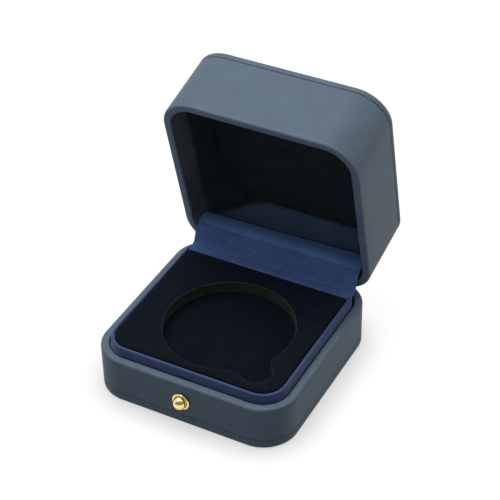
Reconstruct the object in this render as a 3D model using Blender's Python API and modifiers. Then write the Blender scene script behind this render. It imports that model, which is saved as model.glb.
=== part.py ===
"""Coin display case: a rounded square hinged case with a padded round recess. Metres, +Z up,
front towards -Y, shown open as in use. The origin is under the base's middle."""
import math

import bmesh
import bpy
from mathutils import Matrix, Vector

# Driving dimensions
WIDTH = 0.0800                 # outside width and depth of base and lid
CORNER = 0.0137                # plan radius of the corners
RIM_Z = 0.0189                 # top of the base's rim
LID_HEIGHT = 0.0300            # lid, from its rim to its top
OPEN_ANGLE = math.radians(76.4)
PRESS = 0.0010                 # travel of the button
GAP = 0.0003                   # between pieces that touch
HALF = WIDTH / 2
FRONT = -HALF

# Walls: insets are measured inwards from the outside face
SKIN = 0.0005                  # leatherette
FRAME_OUT = SKIN + GAP
FRAME_IN = FRAME_OUT + 0.0016
WALL = FRAME_IN + GAP + SKIN
OUTER_ARRIS = 0.0009
INNER_ARRIS = 0.0005
OVERCUT = 0.0001               # how far a cutter passes a face
CORNER_STEPS = 7
ARRIS_STEPS = 3

# Base heights
PLATE_TOP = 0.0037
WALL_FOOT = PLATE_TOP + GAP
PLATE_ARRIS = 0.0010
PLATE_LIP = 0.0003
FLANGE_FOOT = RIM_Z - 0.0030   # how far the leatherette is turned down inside
FLOOR_TOP = WALL_FOOT + 0.0012
INSIDE_FOOT = FLOOR_TOP + GAP

# Lid heights, as closed
LID_RIM = RIM_Z + GAP
LID_TOP = LID_RIM + LID_HEIGHT
LID_PANEL = 0.0028
PANEL_FOOT = LID_TOP - LID_PANEL
LID_SEAM = PANEL_FOOT - GAP
PANEL_ARRIS = 0.0012
LID_FLANGE_TOP = LID_RIM + 0.0008
LINING = 0.0004
LINING_OUT = WALL - LINING
LINING_FOOT = LID_FLANGE_TOP + GAP
CEILING_DEPTH = 0.0012
CEILING_INSET = WALL + 0.0004
LINING_TOP = LID_SEAM - 0.0002

# Hinge axis, and the groove for it in the two rear walls
PIVOT_Y = HALF - 0.0020
PIVOT_Z = RIM_Z + 0.0007
GROOVE_HALF = HALF - 0.0128
GROOVE_DEPTH = 0.0014          # from the axis to each wall's edge
STOP_SLOPE = OPEN_ANGLE / 2    # the bevelled edges meet when the case is open
STOP_CLEAR = 0.00015
BEVEL_REACH = 0.0060
BEVEL_FAR = 0.0120
GROOVE_REACH = 0.0100

# Collar
COLLAR_OUT = WALL + 0.0008
COLLAR_THICK = 0.0013
COLLAR_IN = COLLAR_OUT + COLLAR_THICK
COLLAR_TOP = RIM_Z + 0.0043
COLLAR_ROUND_SHARE = 0.42

# Pad
VELVET = 0.0006
PAD_TOP = COLLAR_TOP - 0.00075
PAD_INSET = COLLAR_IN + GAP
PAD_BACK = HALF - 0.0136
PAD_ARRIS = 0.0008
RECESS_DEPTH = 0.0053
RECESS_FRONT = 0.0028          # from the pad's front edge to the recess
RECESS_BACK = 0.0080
RECESS_FLOOR = PAD_TOP - RECESS_DEPTH
FOAM_FOOT = RECESS_FLOOR + GAP
FOAM_TOP = PAD_TOP - VELVET - GAP
FOAM_INSET = PAD_INSET + VELVET + GAP
BOARD = 0.00085
BOARD_FOOT = RECESS_FLOOR - BOARD
BOARD_INSET = PAD_INSET + 0.0001
SUPPORT_TOP = BOARD_FOOT - GAP
SUPPORT_INSET = PAD_INSET + 0.0002
RECESS_R = (PAD_BACK - RECESS_BACK - (FRONT + PAD_INSET + RECESS_FRONT)) / 2
RECESS_X = 0.0018
RECESS_Y = FRONT + PAD_INSET + RECESS_FRONT + RECESS_R
RECESS_STEPS = 48
NOTCH_HALF = 0.0062
NOTCH_ANGLE = math.radians(-50.0)
NOTCH_MOUTH_ANGLE = math.radians(-40.0)
NOTCH_LONG = 0.0025            # from the mouth to the centre of its round end
NOTCH_STEPS = 10

# Hinge cover strip: its visible face in the open case, back from the axis and above it
STRIP = 0.0006
STRIP_HALF = HALF - WALL - 0.0016
STRIP_FRONT_HALF = HALF - COLLAR_IN - GAP
COLLAR_END = HALF - 0.0122
STRIP_FRONT_END = COLLAR_END + GAP
STRIP_START = PAD_BACK + 0.0005
STRIP_FOLD = (
    (0.01075, 0.00255), (0.01010, 0.00265), (0.00870, 0.00235), (0.00700, 0.00195),
    (0.00620, 0.00200), (0.00560, 0.00245), (0.00490, 0.00370), (0.00400, 0.00600),
    (0.00305, 0.00795), (0.00210, 0.00910), (0.00100, 0.00980),
)
STRIP_SKIRT = (-0.0006, 0.0021)     # of its front edge, above the axis
STRIP_LID_B = 0.0100           # its face on the lid's board, back from the axis, as closed
STRIP_LID_U = (0.0017, 0.0028, 0.0050, 0.0072)

# Boards at the hinge
LEDGE_FRONT = STRIP_START + STRIP + GAP
LEDGE_TOP = PIVOT_Z + 0.0006
LID_BOARD_Y = PIVOT_Y - STRIP_LID_B + STRIP + GAP
LID_BOARD = 0.0012
LID_BOARD_FOOT = PIVOT_Z + 0.0013
LID_BOARD_TOP = PIVOT_Z + 0.0073
LID_BOARD_BACK = HALF - CEILING_INSET
REAR_LINING_HALF = GROOVE_HALF - 0.0001
REAR_LINING_FOOT = PIVOT_Z + GROOVE_DEPTH + GAP

# Leaves, pin and rivets
LEAF = 0.0006
LEAF_FRONT = HALF - WALL - GAP - LEAF
LEAF_HALF = GROOVE_HALF - 0.0017
LEAF_DROP = 0.0106             # from the axis to the base leaf's foot
LEAF_RISE = 0.0058
LEAF_END = 0.0016              # from the axis to the plate's near edge
KNUCKLE_R = 0.0011
KNUCKLE_BORE = 0.00060
KNUCKLE_STEPS = 16
KNUCKLES = 5
KNUCKLE_GAP = 0.0003
HINGE_HALF = LEAF_HALF + KNUCKLE_GAP
PIN_R = KNUCKLE_BORE - 0.00005
PIN_HALF = HINGE_HALF + 0.0002
ARM_LOW = (0.0015, 0.0011)     # the arm's corners, back from the axis and away from it
ARM_TIP_LOW = (0.0007, 0.0007)
ARM_TIP_HIGH = (0.0009, 0.0001)
ARM_HIGH = (0.0021, 0.00065)
RIVET_SHARE = 0.61             # of the leaf's half
RIVET_X = (-LEAF_HALF * RIVET_SHARE, LEAF_HALF * RIVET_SHARE)
BASE_RIVET_Z = PIVOT_Z - 0.0066
LID_RIVET_Z = PIVOT_Z + 0.0038
RIVET_R = 0.0006
RIVET_HOLE = RIVET_R + GAP
RIVET_HEAD_R = 0.0012
RIVET_HEAD = 0.0004
RIVET_HOLE_END = HALF - FRAME_OUT - 0.0006
RIVET_END = RIVET_HOLE_END - 0.0004
RIVET_STEPS = 12

# Button, on an axis along Y
BUTTON_Z = RIM_Z - 0.0077
BALL_R = 0.00245
BALL_BACK = FRONT
BALL_Y = BALL_BACK - 0.00145
STEM_R = 0.0012
TENON_R = 0.0008
BEZEL_R = 0.0035
BEZEL_BACK = FRONT - GAP
BEZEL_FRONT = BEZEL_BACK - 0.0008
BEZEL_ROUND = 0.00035
CUP_R = BALL_R + GAP
CUP_OUT = CUP_R + 0.00035
CUP_FLOOR = BALL_BACK + PRESS + 0.0001
CUP_BACK = CUP_FLOOR + 0.0006
TUBE_R = 0.0018
TUBE_BORE = STEM_R + 0.00005
TUBE_END = FRONT + 0.0036
BUTTON_HOLE = CUP_OUT + 0.0002
RETAINER_R = 0.0042
RETAINER_BORE = TUBE_R + 0.00005
RETAINER_THICK = 0.0008
RETAINER_BACK = FRONT + COLLAR_OUT - 0.0005
RETAINER_FRONT = RETAINER_BACK - RETAINER_THICK
COLLAR_HOLE = TUBE_R - 0.0001
ROUND_STEPS = 24
BALL_STEPS = 9

# Latch
LATCH_THICK = 0.0006
LATCH_FRONT = FRONT + COLLAR_IN + GAP
LATCH_BACK = LATCH_FRONT + LATCH_THICK
LATCH_HALF = 0.0030
LATCH_FOOT = BUTTON_Z - 0.0030
LATCH_HOLE = TENON_R + 0.00005
STEM_END = LATCH_FRONT - GAP
CLIP_FRONT = LATCH_BACK + GAP
CLIP_BACK = CLIP_FRONT + 0.0004
CLIP_R = 0.0019
TENON_END = CLIP_BACK + 0.0011
NOSE_FOOT = PIVOT_Z + 0.0003
NOSE_TOP = NOSE_FOOT + 0.0007
NOSE_TIP = FRONT + COLLAR_OUT - 0.00035
NOSE_HALF = 0.0015
SLOT_CLEAR = 0.0002
POCKET_HALF = LATCH_HALF + 0.0004
POCKET_BACK = LATCH_BACK + PRESS + GAP
POCKET_TOP = NOSE_TOP + 0.0009
WELL_HALF = 0.0050
WELL_BACK = LATCH_BACK + 0.0062
SPRING_FRONT = CLIP_BACK + GAP
SPRING_BACK = SPRING_FRONT + 0.0038
SPRING_R = 0.0014
SPRING_WIRE = 0.0002
SPRING_TURNS = 5
SPRING_TURN_STEPS = 12
BRACKET_HALF = 0.0035
BRACKET_FRONT = SPRING_BACK + GAP
BRACKET_BACK = BRACKET_FRONT + 0.0007
BRACKET_TOP = BUTTON_Z + 0.0036
BRACKET_TOE = BRACKET_FRONT - 0.0035
BRACKET_FOOT = 0.0008
SPIGOT_R = 0.0009
SPIGOT_END = BRACKET_FRONT - 0.0012

# Keeper in the lid
KEEPER_HALF = 0.0035
KEEPER_FOOT = LID_RIM + 0.0001
KEEPER_BAR = 0.0005
KEEPER_TOP = KEEPER_FOOT + 0.0025
KEEPER_OUT = FRONT + FRAME_IN + 0.00035
KEEPER_IN = KEEPER_OUT + 0.0004
KEEPER_SLOT_HALF = NOSE_HALF + 0.0004
KEEPER_SLOT = (KEEPER_FOOT + KEEPER_BAR, NOSE_TOP + GAP)
WINDOW_OUT = FRONT + FRAME_IN + 0.0002
WINDOW_IN = FRONT + WALL + OVERCUT
FAR = WIDTH                    # reach of cutters beyond the case
SMOOTH_ANGLE = math.radians(35.0)
ROUND_PROFILE = 0.5
UNIT = 1.0
WELD = 0.000002
NEAR = 0.00002

for old in list(bpy.data.objects):
    bpy.data.objects.remove(old, do_unlink=True)
for old in list(bpy.data.meshes):
    bpy.data.meshes.remove(old)

collection = bpy.data.collections.new("coin_display_case")
bpy.context.scene.collection.children.link(collection)


# Shapes
def object_from(name, bm):
    mesh = bpy.data.meshes.new(name)
    bm.to_mesh(mesh)
    bm.free()
    obj = bpy.data.objects.new(name, mesh)
    collection.objects.link(obj)
    return obj


def clean(obj):
    """Weld what touches and point the faces outwards."""
    bm = bmesh.new()
    bm.from_mesh(obj.data)
    bmesh.ops.remove_doubles(bm, verts=bm.verts, dist=WELD)
    bmesh.ops.dissolve_degenerate(bm, edges=bm.edges, dist=WELD)
    bmesh.ops.recalc_face_normals(bm, faces=bm.faces)
    bm.to_mesh(obj.data)
    bm.free()
    return obj


def settle(obj):
    """Apply the modifiers, or turn a curve into a mesh."""
    graph = bpy.context.evaluated_depsgraph_get()
    mesh = bpy.data.meshes.new_from_object(obj.evaluated_get(graph))
    name = obj.name
    place = obj.matrix_world.copy()
    bpy.data.objects.remove(obj, do_unlink=True)
    mesh.name = name
    new = bpy.data.objects.new(name, mesh)
    collection.objects.link(new)
    new.matrix_world = place
    return clean(new)


def turn(obj, angle, axis, place):
    obj.data.transform(Matrix.Translation(place) @ Matrix.Rotation(angle, 4, axis))
    return obj


def inset_of(v):
    """How far a point lies inside the rounded square of the outside faces."""
    dx, dy = abs(v.co.x) - (HALF - CORNER), abs(v.co.y) - (HALF - CORNER)
    if dx > 0.0 and dy > 0.0:
        return CORNER - math.hypot(dx, dy)
    return CORNER - max(dx, dy)


def round_edges(bm, height, inset, radius):
    """Round the edge that runs round the case at a height and an inset."""
    edges = [e for e in bm.edges if all(abs(v.co.z - height) < WELD
                                        and abs(inset_of(v) - inset) < NEAR for v in e.verts)]
    bmesh.ops.bevel(bm, geom=edges, offset=radius, offset_type="OFFSET", segments=ARRIS_STEPS,
                    profile=ROUND_PROFILE, affect="EDGES")


def rounded_square(inset, foot, top):
    bm = bmesh.new()
    bmesh.ops.create_cube(bm, size=UNIT)
    side = WIDTH - 2 * inset
    bmesh.ops.scale(bm, vec=(side, side, top - foot), verts=bm.verts)
    bmesh.ops.translate(bm, vec=(0.0, 0.0, (foot + top) / 2), verts=bm.verts)
    upright = [e for e in bm.edges if abs(e.verts[0].co.z - e.verts[1].co.z) > WELD]
    bmesh.ops.bevel(bm, geom=upright, offset=CORNER - inset, offset_type="OFFSET",
                    segments=CORNER_STEPS, profile=ROUND_PROFILE, affect="EDGES")
    return bm


def plate(name, inset, foot, top, rounds=()):
    """Rounded square slab; rounds holds heights and the radii of their edges."""
    bm = rounded_square(inset, foot, top)
    for height, radius in rounds:
        round_edges(bm, height, inset, radius)
    return object_from(name, bm)


def wall(name, outer, inner, foot, top, rounds=()):
    """Wall round the rounded square; rounds holds heights, insets and radii."""
    bm = rounded_square(outer, foot, top)
    flats = [f for f in bm.faces if abs(f.normal.z) > UNIT / 2]
    bmesh.ops.delete(bm, geom=flats, context="FACES_ONLY")
    obj = object_from(name, bm)
    solid = obj.modifiers.new("thickness", "SOLIDIFY")
    solid.thickness = inner - outer
    solid.offset = -1
    solid.use_even_offset = True
    obj = settle(obj)
    bm = bmesh.new()
    bm.from_mesh(obj.data)
    for height, inset, radius in rounds:
        round_edges(bm, height, inset, radius)
    bm.to_mesh(obj.data)
    bm.free()
    return obj


def box(name, low, high):
    bm = bmesh.new()
    bmesh.ops.create_cube(bm, size=UNIT)
    bmesh.ops.scale(bm, vec=[b - a for a, b in zip(low, high)], verts=bm.verts)
    bmesh.ops.translate(bm, vec=[(a + b) / 2 for a, b in zip(low, high)], verts=bm.verts)
    return object_from(name, bm)


def flat_curve(name, outline, depth, closed=True):
    curve = bpy.data.curves.new(name, "CURVE")
    curve.dimensions = "2D"
    curve.fill_mode = "BOTH" if closed else "NONE"
    curve.extrude = depth / 2
    spline = curve.splines.new("POLY")
    spline.points.add(len(outline) - 1)
    for point, (a, b) in zip(spline.points, outline):
        point.co = (a, b, 0.0, 0.0)
    spline.use_cyclic_u = closed
    obj = bpy.data.objects.new(name, curve)
    collection.objects.link(obj)
    return settle(obj)


def along_x(name, outline, x0, x1, closed=True):
    """A y, z outline carried from one x plane to another."""
    obj = flat_curve(name, outline, x1 - x0, closed)
    turn(obj, math.radians(90.0), "X", (0.0, 0.0, 0.0))
    return turn(obj, math.radians(90.0), "Z", ((x0 + x1) / 2, 0.0, 0.0))


def along_z(name, outline, z0, z1):
    obj = flat_curve(name, outline, z1 - z0)
    return turn(obj, 0.0, "Z", (0.0, 0.0, (z0 + z1) / 2))


def arc(centre, radius, start, end, steps=ARRIS_STEPS):
    return [(centre[0] + radius * math.cos(start + (end - start) * i / steps),
             centre[1] + radius * math.sin(start + (end - start) * i / steps))
            for i in range(steps + 1)]


def cylinder(radius, length, steps):
    bm = bmesh.new()
    bmesh.ops.create_cone(bm, cap_ends=True, segments=steps, radius1=radius, radius2=radius, depth=length)
    return bm


def rod(name, y0, y1, radius, x=0.0, z=BUTTON_Z, steps=ROUND_STEPS):
    obj = object_from(name, cylinder(radius, y1 - y0, steps))
    return turn(obj, math.radians(-90.0), "X", (x, (y0 + y1) / 2, z))


def barrel(name, x0, x1, radius):
    """Round bar on the hinge axis."""
    obj = object_from(name, cylinder(radius, x1 - x0, KNUCKLE_STEPS))
    return turn(obj, math.radians(90.0), "Y", ((x0 + x1) / 2, PIVOT_Y, PIVOT_Z))


def turned(name, profile, closed=False, x=0.0, z=BUTTON_Z, steps=ROUND_STEPS):
    """Turned piece about an axis along Y; the profile holds y and radius."""
    bm = bmesh.new()
    row = [bm.verts.new((radius, 0.0, y)) for y, radius in profile]
    for a, b in zip(row, row[1:] + (row[:1] if closed else [])):
        bm.edges.new((a, b))
    obj = object_from(name, bm)
    screw = obj.modifiers.new("turn", "SCREW")
    screw.steps = screw.render_steps = steps
    screw.use_merge_vertices = True
    screw.merge_threshold = WELD
    return turn(settle(obj), math.radians(-90.0), "X", (x, 0.0, z))


def pipe(name, y0, y1, outer, bore):
    return turned(name, ((y0, bore), (y0, outer), (y1, outer), (y1, bore)), True)


# Booleans, applied at once
def combine(obj, other, operation):
    mod = obj.modifiers.new("combine", "BOOLEAN")
    mod.operation = operation
    mod.solver = "EXACT"
    mod.object = other
    graph = bpy.context.evaluated_depsgraph_get()
    mesh = bpy.data.meshes.new_from_object(obj.evaluated_get(graph))
    obj.modifiers.clear()
    obj.data = mesh
    bpy.data.objects.remove(other, do_unlink=True)
    return obj


def cut(obj, *cutters):
    for cutter in cutters:
        combine(obj, cutter, "DIFFERENCE")
    return obj


def join(obj, *others):
    for other in others:
        combine(obj, other, "UNION")
    return obj


# Groove and bevel cutters; the base is cut from above and the lid from below
def flip(z, lid):
    return 2 * PIVOT_Z - z if lid else z


def groove(grow, lid):
    low = flip(PIVOT_Z - GROOVE_DEPTH - grow, lid)
    far = flip(PIVOT_Z + GROOVE_REACH, lid)
    half = GROOVE_HALF + grow
    z0, z1 = min(low, far), max(low, far)
    return box("groove", (-half, HALF - GROOVE_REACH, z0), (half, HALF + GROOVE_REACH, z1))


def bevel(grow, lid):
    c, s = math.cos(STOP_SLOPE), math.sin(STOP_SLOPE)
    base_y = PIVOT_Y - s * (STOP_CLEAR + grow)
    base_z = PIVOT_Z - c * (STOP_CLEAR + grow)
    outline = [(base_y - BEVEL_REACH * c, base_z + BEVEL_REACH * s),
               (base_y + BEVEL_REACH * c, base_z - BEVEL_REACH * s),
               (base_y + BEVEL_REACH * c, base_z + BEVEL_FAR),
               (base_y - BEVEL_REACH * c, base_z + BEVEL_FAR)]
    return along_x("bevel", [(y, flip(z, lid)) for y, z in outline], -HALF, HALF)


def clear_rear(obj, grow, lid):
    return cut(obj, groove(grow, lid), bevel(grow, lid))


# Leatherette wraps and frames
def wrap(name, foot, rim, flange_end, lid):
    """Thin skin up the outside, over the rounded rim and a little way down inside."""
    inward = 1 if rim < foot else -1
    low, high = min(foot, rim), max(foot, rim)
    body = wall(name, 0.0, WALL, low, high, ((rim, 0.0, OUTER_ARRIS), (rim, WALL, INNER_ARRIS)))
    clear_rear(body, 0.0, lid)
    rim_in, foot_out = rim + inward * SKIN, foot + inward * OVERCUT
    core = wall("core", SKIN, WALL - SKIN, min(rim_in, foot_out), max(rim_in, foot_out),
                ((rim_in, SKIN, OUTER_ARRIS - SKIN), (rim_in, WALL - SKIN, INNER_ARRIS / 2)))
    clear_rear(core, SKIN, lid)
    trim = wall("trim", WALL - SKIN - OVERCUT, WALL + OVERCUT, min(flange_end, foot_out),
                max(flange_end, foot_out))
    return cut(body, core, trim)


def rivet_holes(obj, height):
    for x in RIVET_X:
        cut(obj, rod("hole", LEAF_FRONT - OVERCUT, RIVET_HOLE_END, RIVET_HOLE, x, height, RIVET_STEPS))
    return obj


def build_base():
    bottom = plate("base_bottom_plate", 0.0, 0.0, PLATE_TOP, ((0.0, PLATE_ARRIS), (PLATE_TOP, PLATE_LIP)))
    cover = wrap("base_cover", WALL_FOOT, RIM_Z, FLANGE_FOOT, False)
    cut(cover, rod("hole", -HALF - OVERCUT, -HALF + WALL, BUTTON_HOLE))
    frame = plate("base_frame", FRAME_OUT, WALL_FOOT, RIM_Z - FRAME_OUT)
    cut(frame, plate("inside", FRAME_IN, FLOOR_TOP, RIM_Z + FRAME_OUT))
    clear_rear(frame, FRAME_OUT, False)
    cut(frame, rod("hole", -HALF, -HALF + WALL, BUTTON_HOLE))
    rivet_holes(frame, BASE_RIVET_Z)

    edge = COLLAR_THICK * COLLAR_ROUND_SHARE
    collar = wall("base_collar", COLLAR_OUT, COLLAR_IN, INSIDE_FOOT, COLLAR_TOP,
                  ((COLLAR_TOP, COLLAR_OUT, edge), (COLLAR_TOP, COLLAR_IN, edge)))
    cut(collar, box("rear", (-FAR, COLLAR_END, 0.0), (FAR, FAR, FAR)),
        rod("hole", -HALF + WALL, -HALF + COLLAR_IN + WALL, COLLAR_HOLE),
        box("slot", (-NOSE_HALF - SLOT_CLEAR, -HALF + WALL, NOSE_FOOT - SLOT_CLEAR),
            (NOSE_HALF + SLOT_CLEAR, -HALF + COLLAR_IN + SLOT_CLEAR, NOSE_TOP + SLOT_CLEAR)))
    return bottom, cover, frame, collar


# Pad with its recess and finger notch
def recess_cutter(z0, z1):
    hole = along_z("recess", [(RECESS_X + RECESS_R * math.cos(2 * math.pi * i / RECESS_STEPS),
                               RECESS_Y + RECESS_R * math.sin(2 * math.pi * i / RECESS_STEPS))
                              for i in range(RECESS_STEPS)], z0, z1)
    mouth = Vector((RECESS_X + RECESS_R * math.cos(NOTCH_MOUTH_ANGLE),
                    RECESS_Y + RECESS_R * math.sin(NOTCH_MOUTH_ANGLE)))
    way = Vector((math.cos(NOTCH_ANGLE), math.sin(NOTCH_ANGLE)))
    side = Vector((-way.y, way.x))
    end = mouth + way * NOTCH_LONG
    start = mouth - way * RECESS_R / 2
    outline = [start - side * NOTCH_HALF]
    for i in range(NOTCH_STEPS + 1):
        a = -math.pi / 2 + math.pi * i / NOTCH_STEPS
        outline.append(end + way * NOTCH_HALF * math.cos(a) + side * NOTCH_HALF * math.sin(a))
    outline.append(start + side * NOTCH_HALF)
    return join(hole, along_z("notch", [tuple(p) for p in outline], z0, z1))


def behind(y):
    return box("behind", (-FAR, y, 0.0), (FAR, FAR, FAR))


def pocket(top):
    return box("pocket", (-POCKET_HALF, -HALF, 0.0), (POCKET_HALF, POCKET_BACK, top))


def build_pad():
    velvet = plate("pad_velvet_cover", PAD_INSET, FOAM_FOOT, PAD_TOP, ((PAD_TOP, PAD_ARRIS),))
    cut(velvet, behind(PAD_BACK))
    core = plate("core", PAD_INSET + VELVET, FOAM_FOOT - OVERCUT, PAD_TOP - VELVET)
    cut(core, behind(PAD_BACK - VELVET))
    cut(velvet, core, recess_cutter(RECESS_FLOOR, PAD_TOP + VELVET), pocket(POCKET_TOP))

    foam = plate("pad_foam_layer", FOAM_INSET, FOAM_FOOT, FOAM_TOP)
    cut(foam, behind(PAD_BACK - VELVET - GAP), recess_cutter(RECESS_FLOOR, PAD_TOP), pocket(PAD_TOP))
    board = plate("recess_floor_board", BOARD_INSET, BOARD_FOOT, RECESS_FLOOR)
    cut(board, behind(PAD_BACK), pocket(PAD_TOP))
    support = plate("insert_support_block", SUPPORT_INSET, INSIDE_FOOT, SUPPORT_TOP)
    cut(support, behind(PAD_BACK), box("well", (-WELL_HALF, -HALF, 0.0), (WELL_HALF, WELL_BACK, PAD_TOP)))
    return velvet, foam, board, support


# Hinge
def open_to_row(b, u):
    """A point of the closed lid, in y and z from the axis, moved to the open lid."""
    c, s = math.cos(OPEN_ANGLE), math.sin(OPEN_ANGLE)
    return PIVOT_Y + b * c + u * s, PIVOT_Z - b * s + u * c


def build_strip():
    face = [(STRIP_START, PIVOT_Z + u) for u in STRIP_SKIRT]
    face += [(PIVOT_Y - b, PIVOT_Z + u) for b, u in STRIP_FOLD]
    face += [open_to_row(-STRIP_LID_B, u) for u in STRIP_LID_U]
    strip = along_x("hinge_cover_strip", face, -STRIP_HALF, STRIP_HALF, False)
    bm = bmesh.new()
    bm.from_mesh(strip.data)
    hidden = Vector((0.0, PIVOT_Y, PIVOT_Z))
    for f in bm.faces:
        if f.normal.dot(f.calc_center_median() - hidden) < 0.0:
            f.normal_flip()
    bm.to_mesh(strip.data)
    bm.free()
    solid = strip.modifiers.new("thickness", "SOLIDIFY")
    solid.thickness = STRIP
    solid.offset = -1
    solid.use_even_offset = True
    strip = settle(strip)
    for side in (-1, 1):
        near, far = sorted((side * STRIP_FRONT_HALF, side * FAR))
        cut(strip, box("end", (near, 0.0, 0.0), (far, STRIP_FRONT_END, FAR)))
    return strip


def knuckle_spans(parity):
    long = (2 * HINGE_HALF - (KNUCKLES - 1) * KNUCKLE_GAP) / KNUCKLES
    spans = []
    for k in range(KNUCKLES):
        if k % 2 == parity:
            start = -HINGE_HALF + k * (long + KNUCKLE_GAP)
            spans.append((start, start + long))
    return spans


def leaf(name, plate_end, lid, parity, rivet_z):
    near = flip(PIVOT_Z - LEAF_END, lid)
    z0, z1 = min(plate_end, near), max(plate_end, near)
    obj = box(name, (-LEAF_HALF, LEAF_FRONT, z0), (LEAF_HALF, LEAF_FRONT + LEAF, z1))
    root = PIVOT_Z - LEAF_END - LEAF
    arm = [(PIVOT_Y - ARM_HIGH[0], root), (PIVOT_Y - ARM_LOW[0], root)]
    arm += [(PIVOT_Y - b, PIVOT_Z - u) for b, u in (ARM_LOW, ARM_TIP_LOW, ARM_TIP_HIGH, ARM_HIGH)]
    arm = [(y, flip(z, lid)) for y, z in arm]
    for x0, x1 in knuckle_spans(parity):
        part = along_x("arm", arm, max(x0, -LEAF_HALF), min(x1, LEAF_HALF))
        join(obj, join(part, barrel("knuckle", x0, x1, KNUCKLE_R)))
    cut(obj, barrel("bore", -FAR, FAR, KNUCKLE_BORE))
    return rivet_holes(obj, rivet_z)


def rivets(name, height):
    front = LEAF_FRONT - GAP - RIVET_HEAD
    first = turned(f"{name}_1", ((front, 0.0), (front, RIVET_HEAD_R / 2),
                                 (front + RIVET_HEAD / 2, RIVET_HEAD_R),
                                 (front + RIVET_HEAD, RIVET_HEAD_R), (front + RIVET_HEAD, RIVET_R),
                                 (RIVET_END, RIVET_R), (RIVET_END, 0.0)), False, 0.0, height, RIVET_STEPS)
    row = [first]
    for k in range(1, len(RIVET_X)):
        row.append(bpy.data.objects.new(f"{name}_{k + 1}", first.data))
        collection.objects.link(row[-1])
    for obj, x in zip(row, RIVET_X):
        obj.location.x = x
    return tuple(row)


def build_hinge():
    ledge = plate("base_hinge_ledge", SUPPORT_INSET, INSIDE_FOOT, LEDGE_TOP)
    cut(ledge, box("front", (-FAR, -FAR, 0.0), (FAR, LEDGE_FRONT, FAR)))
    return (ledge, build_strip(), leaf("base_hinge_leaf", PIVOT_Z - LEAF_DROP, False, 0, BASE_RIVET_Z),
            barrel("hinge_pin", -PIN_HALF, PIN_HALF, PIN_R)) + rivets("base_hinge_rivet", BASE_RIVET_Z)


# Button and latch
def build_button():
    ball = [(BALL_Y - BALL_R, 0.0)]
    end = math.acos((BALL_BACK - BALL_Y) / BALL_R)
    for i in range(1, BALL_STEPS + 1):
        a = math.pi + (end - math.pi) * i / BALL_STEPS
        ball.append((BALL_Y + BALL_R * math.cos(a), BALL_R * math.sin(a)))
    ball += [(BALL_BACK, STEM_R), (STEM_END, STEM_R), (STEM_END, TENON_R),
             (TENON_END, TENON_R), (TENON_END, 0.0)]
    button = turned("push_button", ball)

    rim = arc((BEZEL_FRONT + BEZEL_ROUND, BEZEL_R - BEZEL_ROUND), BEZEL_ROUND, math.pi / 2, math.pi)
    bezel = turned("button_bezel", [(BEZEL_BACK, BEZEL_R)] + rim
                   + [(BEZEL_FRONT, CUP_R + BEZEL_ROUND / 2), (BEZEL_FRONT + BEZEL_ROUND / 2, CUP_R),
                      (CUP_FLOOR, CUP_R), (CUP_FLOOR, TUBE_BORE), (TUBE_END, TUBE_BORE),
                      (TUBE_END, TUBE_R), (CUP_BACK, TUBE_R), (CUP_BACK, CUP_OUT), (BEZEL_BACK, CUP_OUT)], True)
    retainer = pipe("bezel_retainer", RETAINER_FRONT, RETAINER_BACK, RETAINER_R, RETAINER_BORE)

    latch = box("latch_plate", (-LATCH_HALF, LATCH_FRONT, LATCH_FOOT), (LATCH_HALF, LATCH_BACK, NOSE_TOP))
    join(latch, box("nose", (-NOSE_HALF, NOSE_TIP, NOSE_FOOT),
                    (NOSE_HALF, LATCH_FRONT + OVERCUT, NOSE_TOP)))
    cut(latch, rod("hole", LATCH_FRONT - OVERCUT, LATCH_BACK + OVERCUT, LATCH_HOLE))
    clip = pipe("latch_clip", CLIP_FRONT, CLIP_BACK, CLIP_R, LATCH_HOLE)

    bracket = box("latch_bracket", (-BRACKET_HALF, BRACKET_FRONT, INSIDE_FOOT),
                  (BRACKET_HALF, BRACKET_BACK, BRACKET_TOP))
    join(bracket, box("toe", (-BRACKET_HALF, BRACKET_TOE, INSIDE_FOOT),
                      (BRACKET_HALF, BRACKET_FRONT + OVERCUT, INSIDE_FOOT + BRACKET_FOOT)),
         rod("spigot", SPIGOT_END, BRACKET_FRONT + OVERCUT, SPIGOT_R))
    return bezel, retainer, bracket, build_spring(), (button, latch, clip)


def build_spring():
    curve = bpy.data.curves.new("button_return_spring", "CURVE")
    curve.dimensions = "3D"
    curve.bevel_depth = SPRING_WIRE
    curve.bevel_resolution = 1
    curve.use_fill_caps = True
    count = SPRING_TURNS * SPRING_TURN_STEPS
    spline = curve.splines.new("POLY")
    spline.points.add(count)
    first, last = SPRING_FRONT + SPRING_WIRE, SPRING_BACK - SPRING_WIRE
    for i, point in enumerate(spline.points):
        a = 2 * math.pi * i / SPRING_TURN_STEPS
        point.co = (SPRING_R * math.cos(a), first + (last - first) * i / count,
                    BUTTON_Z + SPRING_R * math.sin(a), 0.0)
    spring = bpy.data.objects.new("button_return_spring", curve)
    collection.objects.link(spring)
    return settle(spring)


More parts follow.
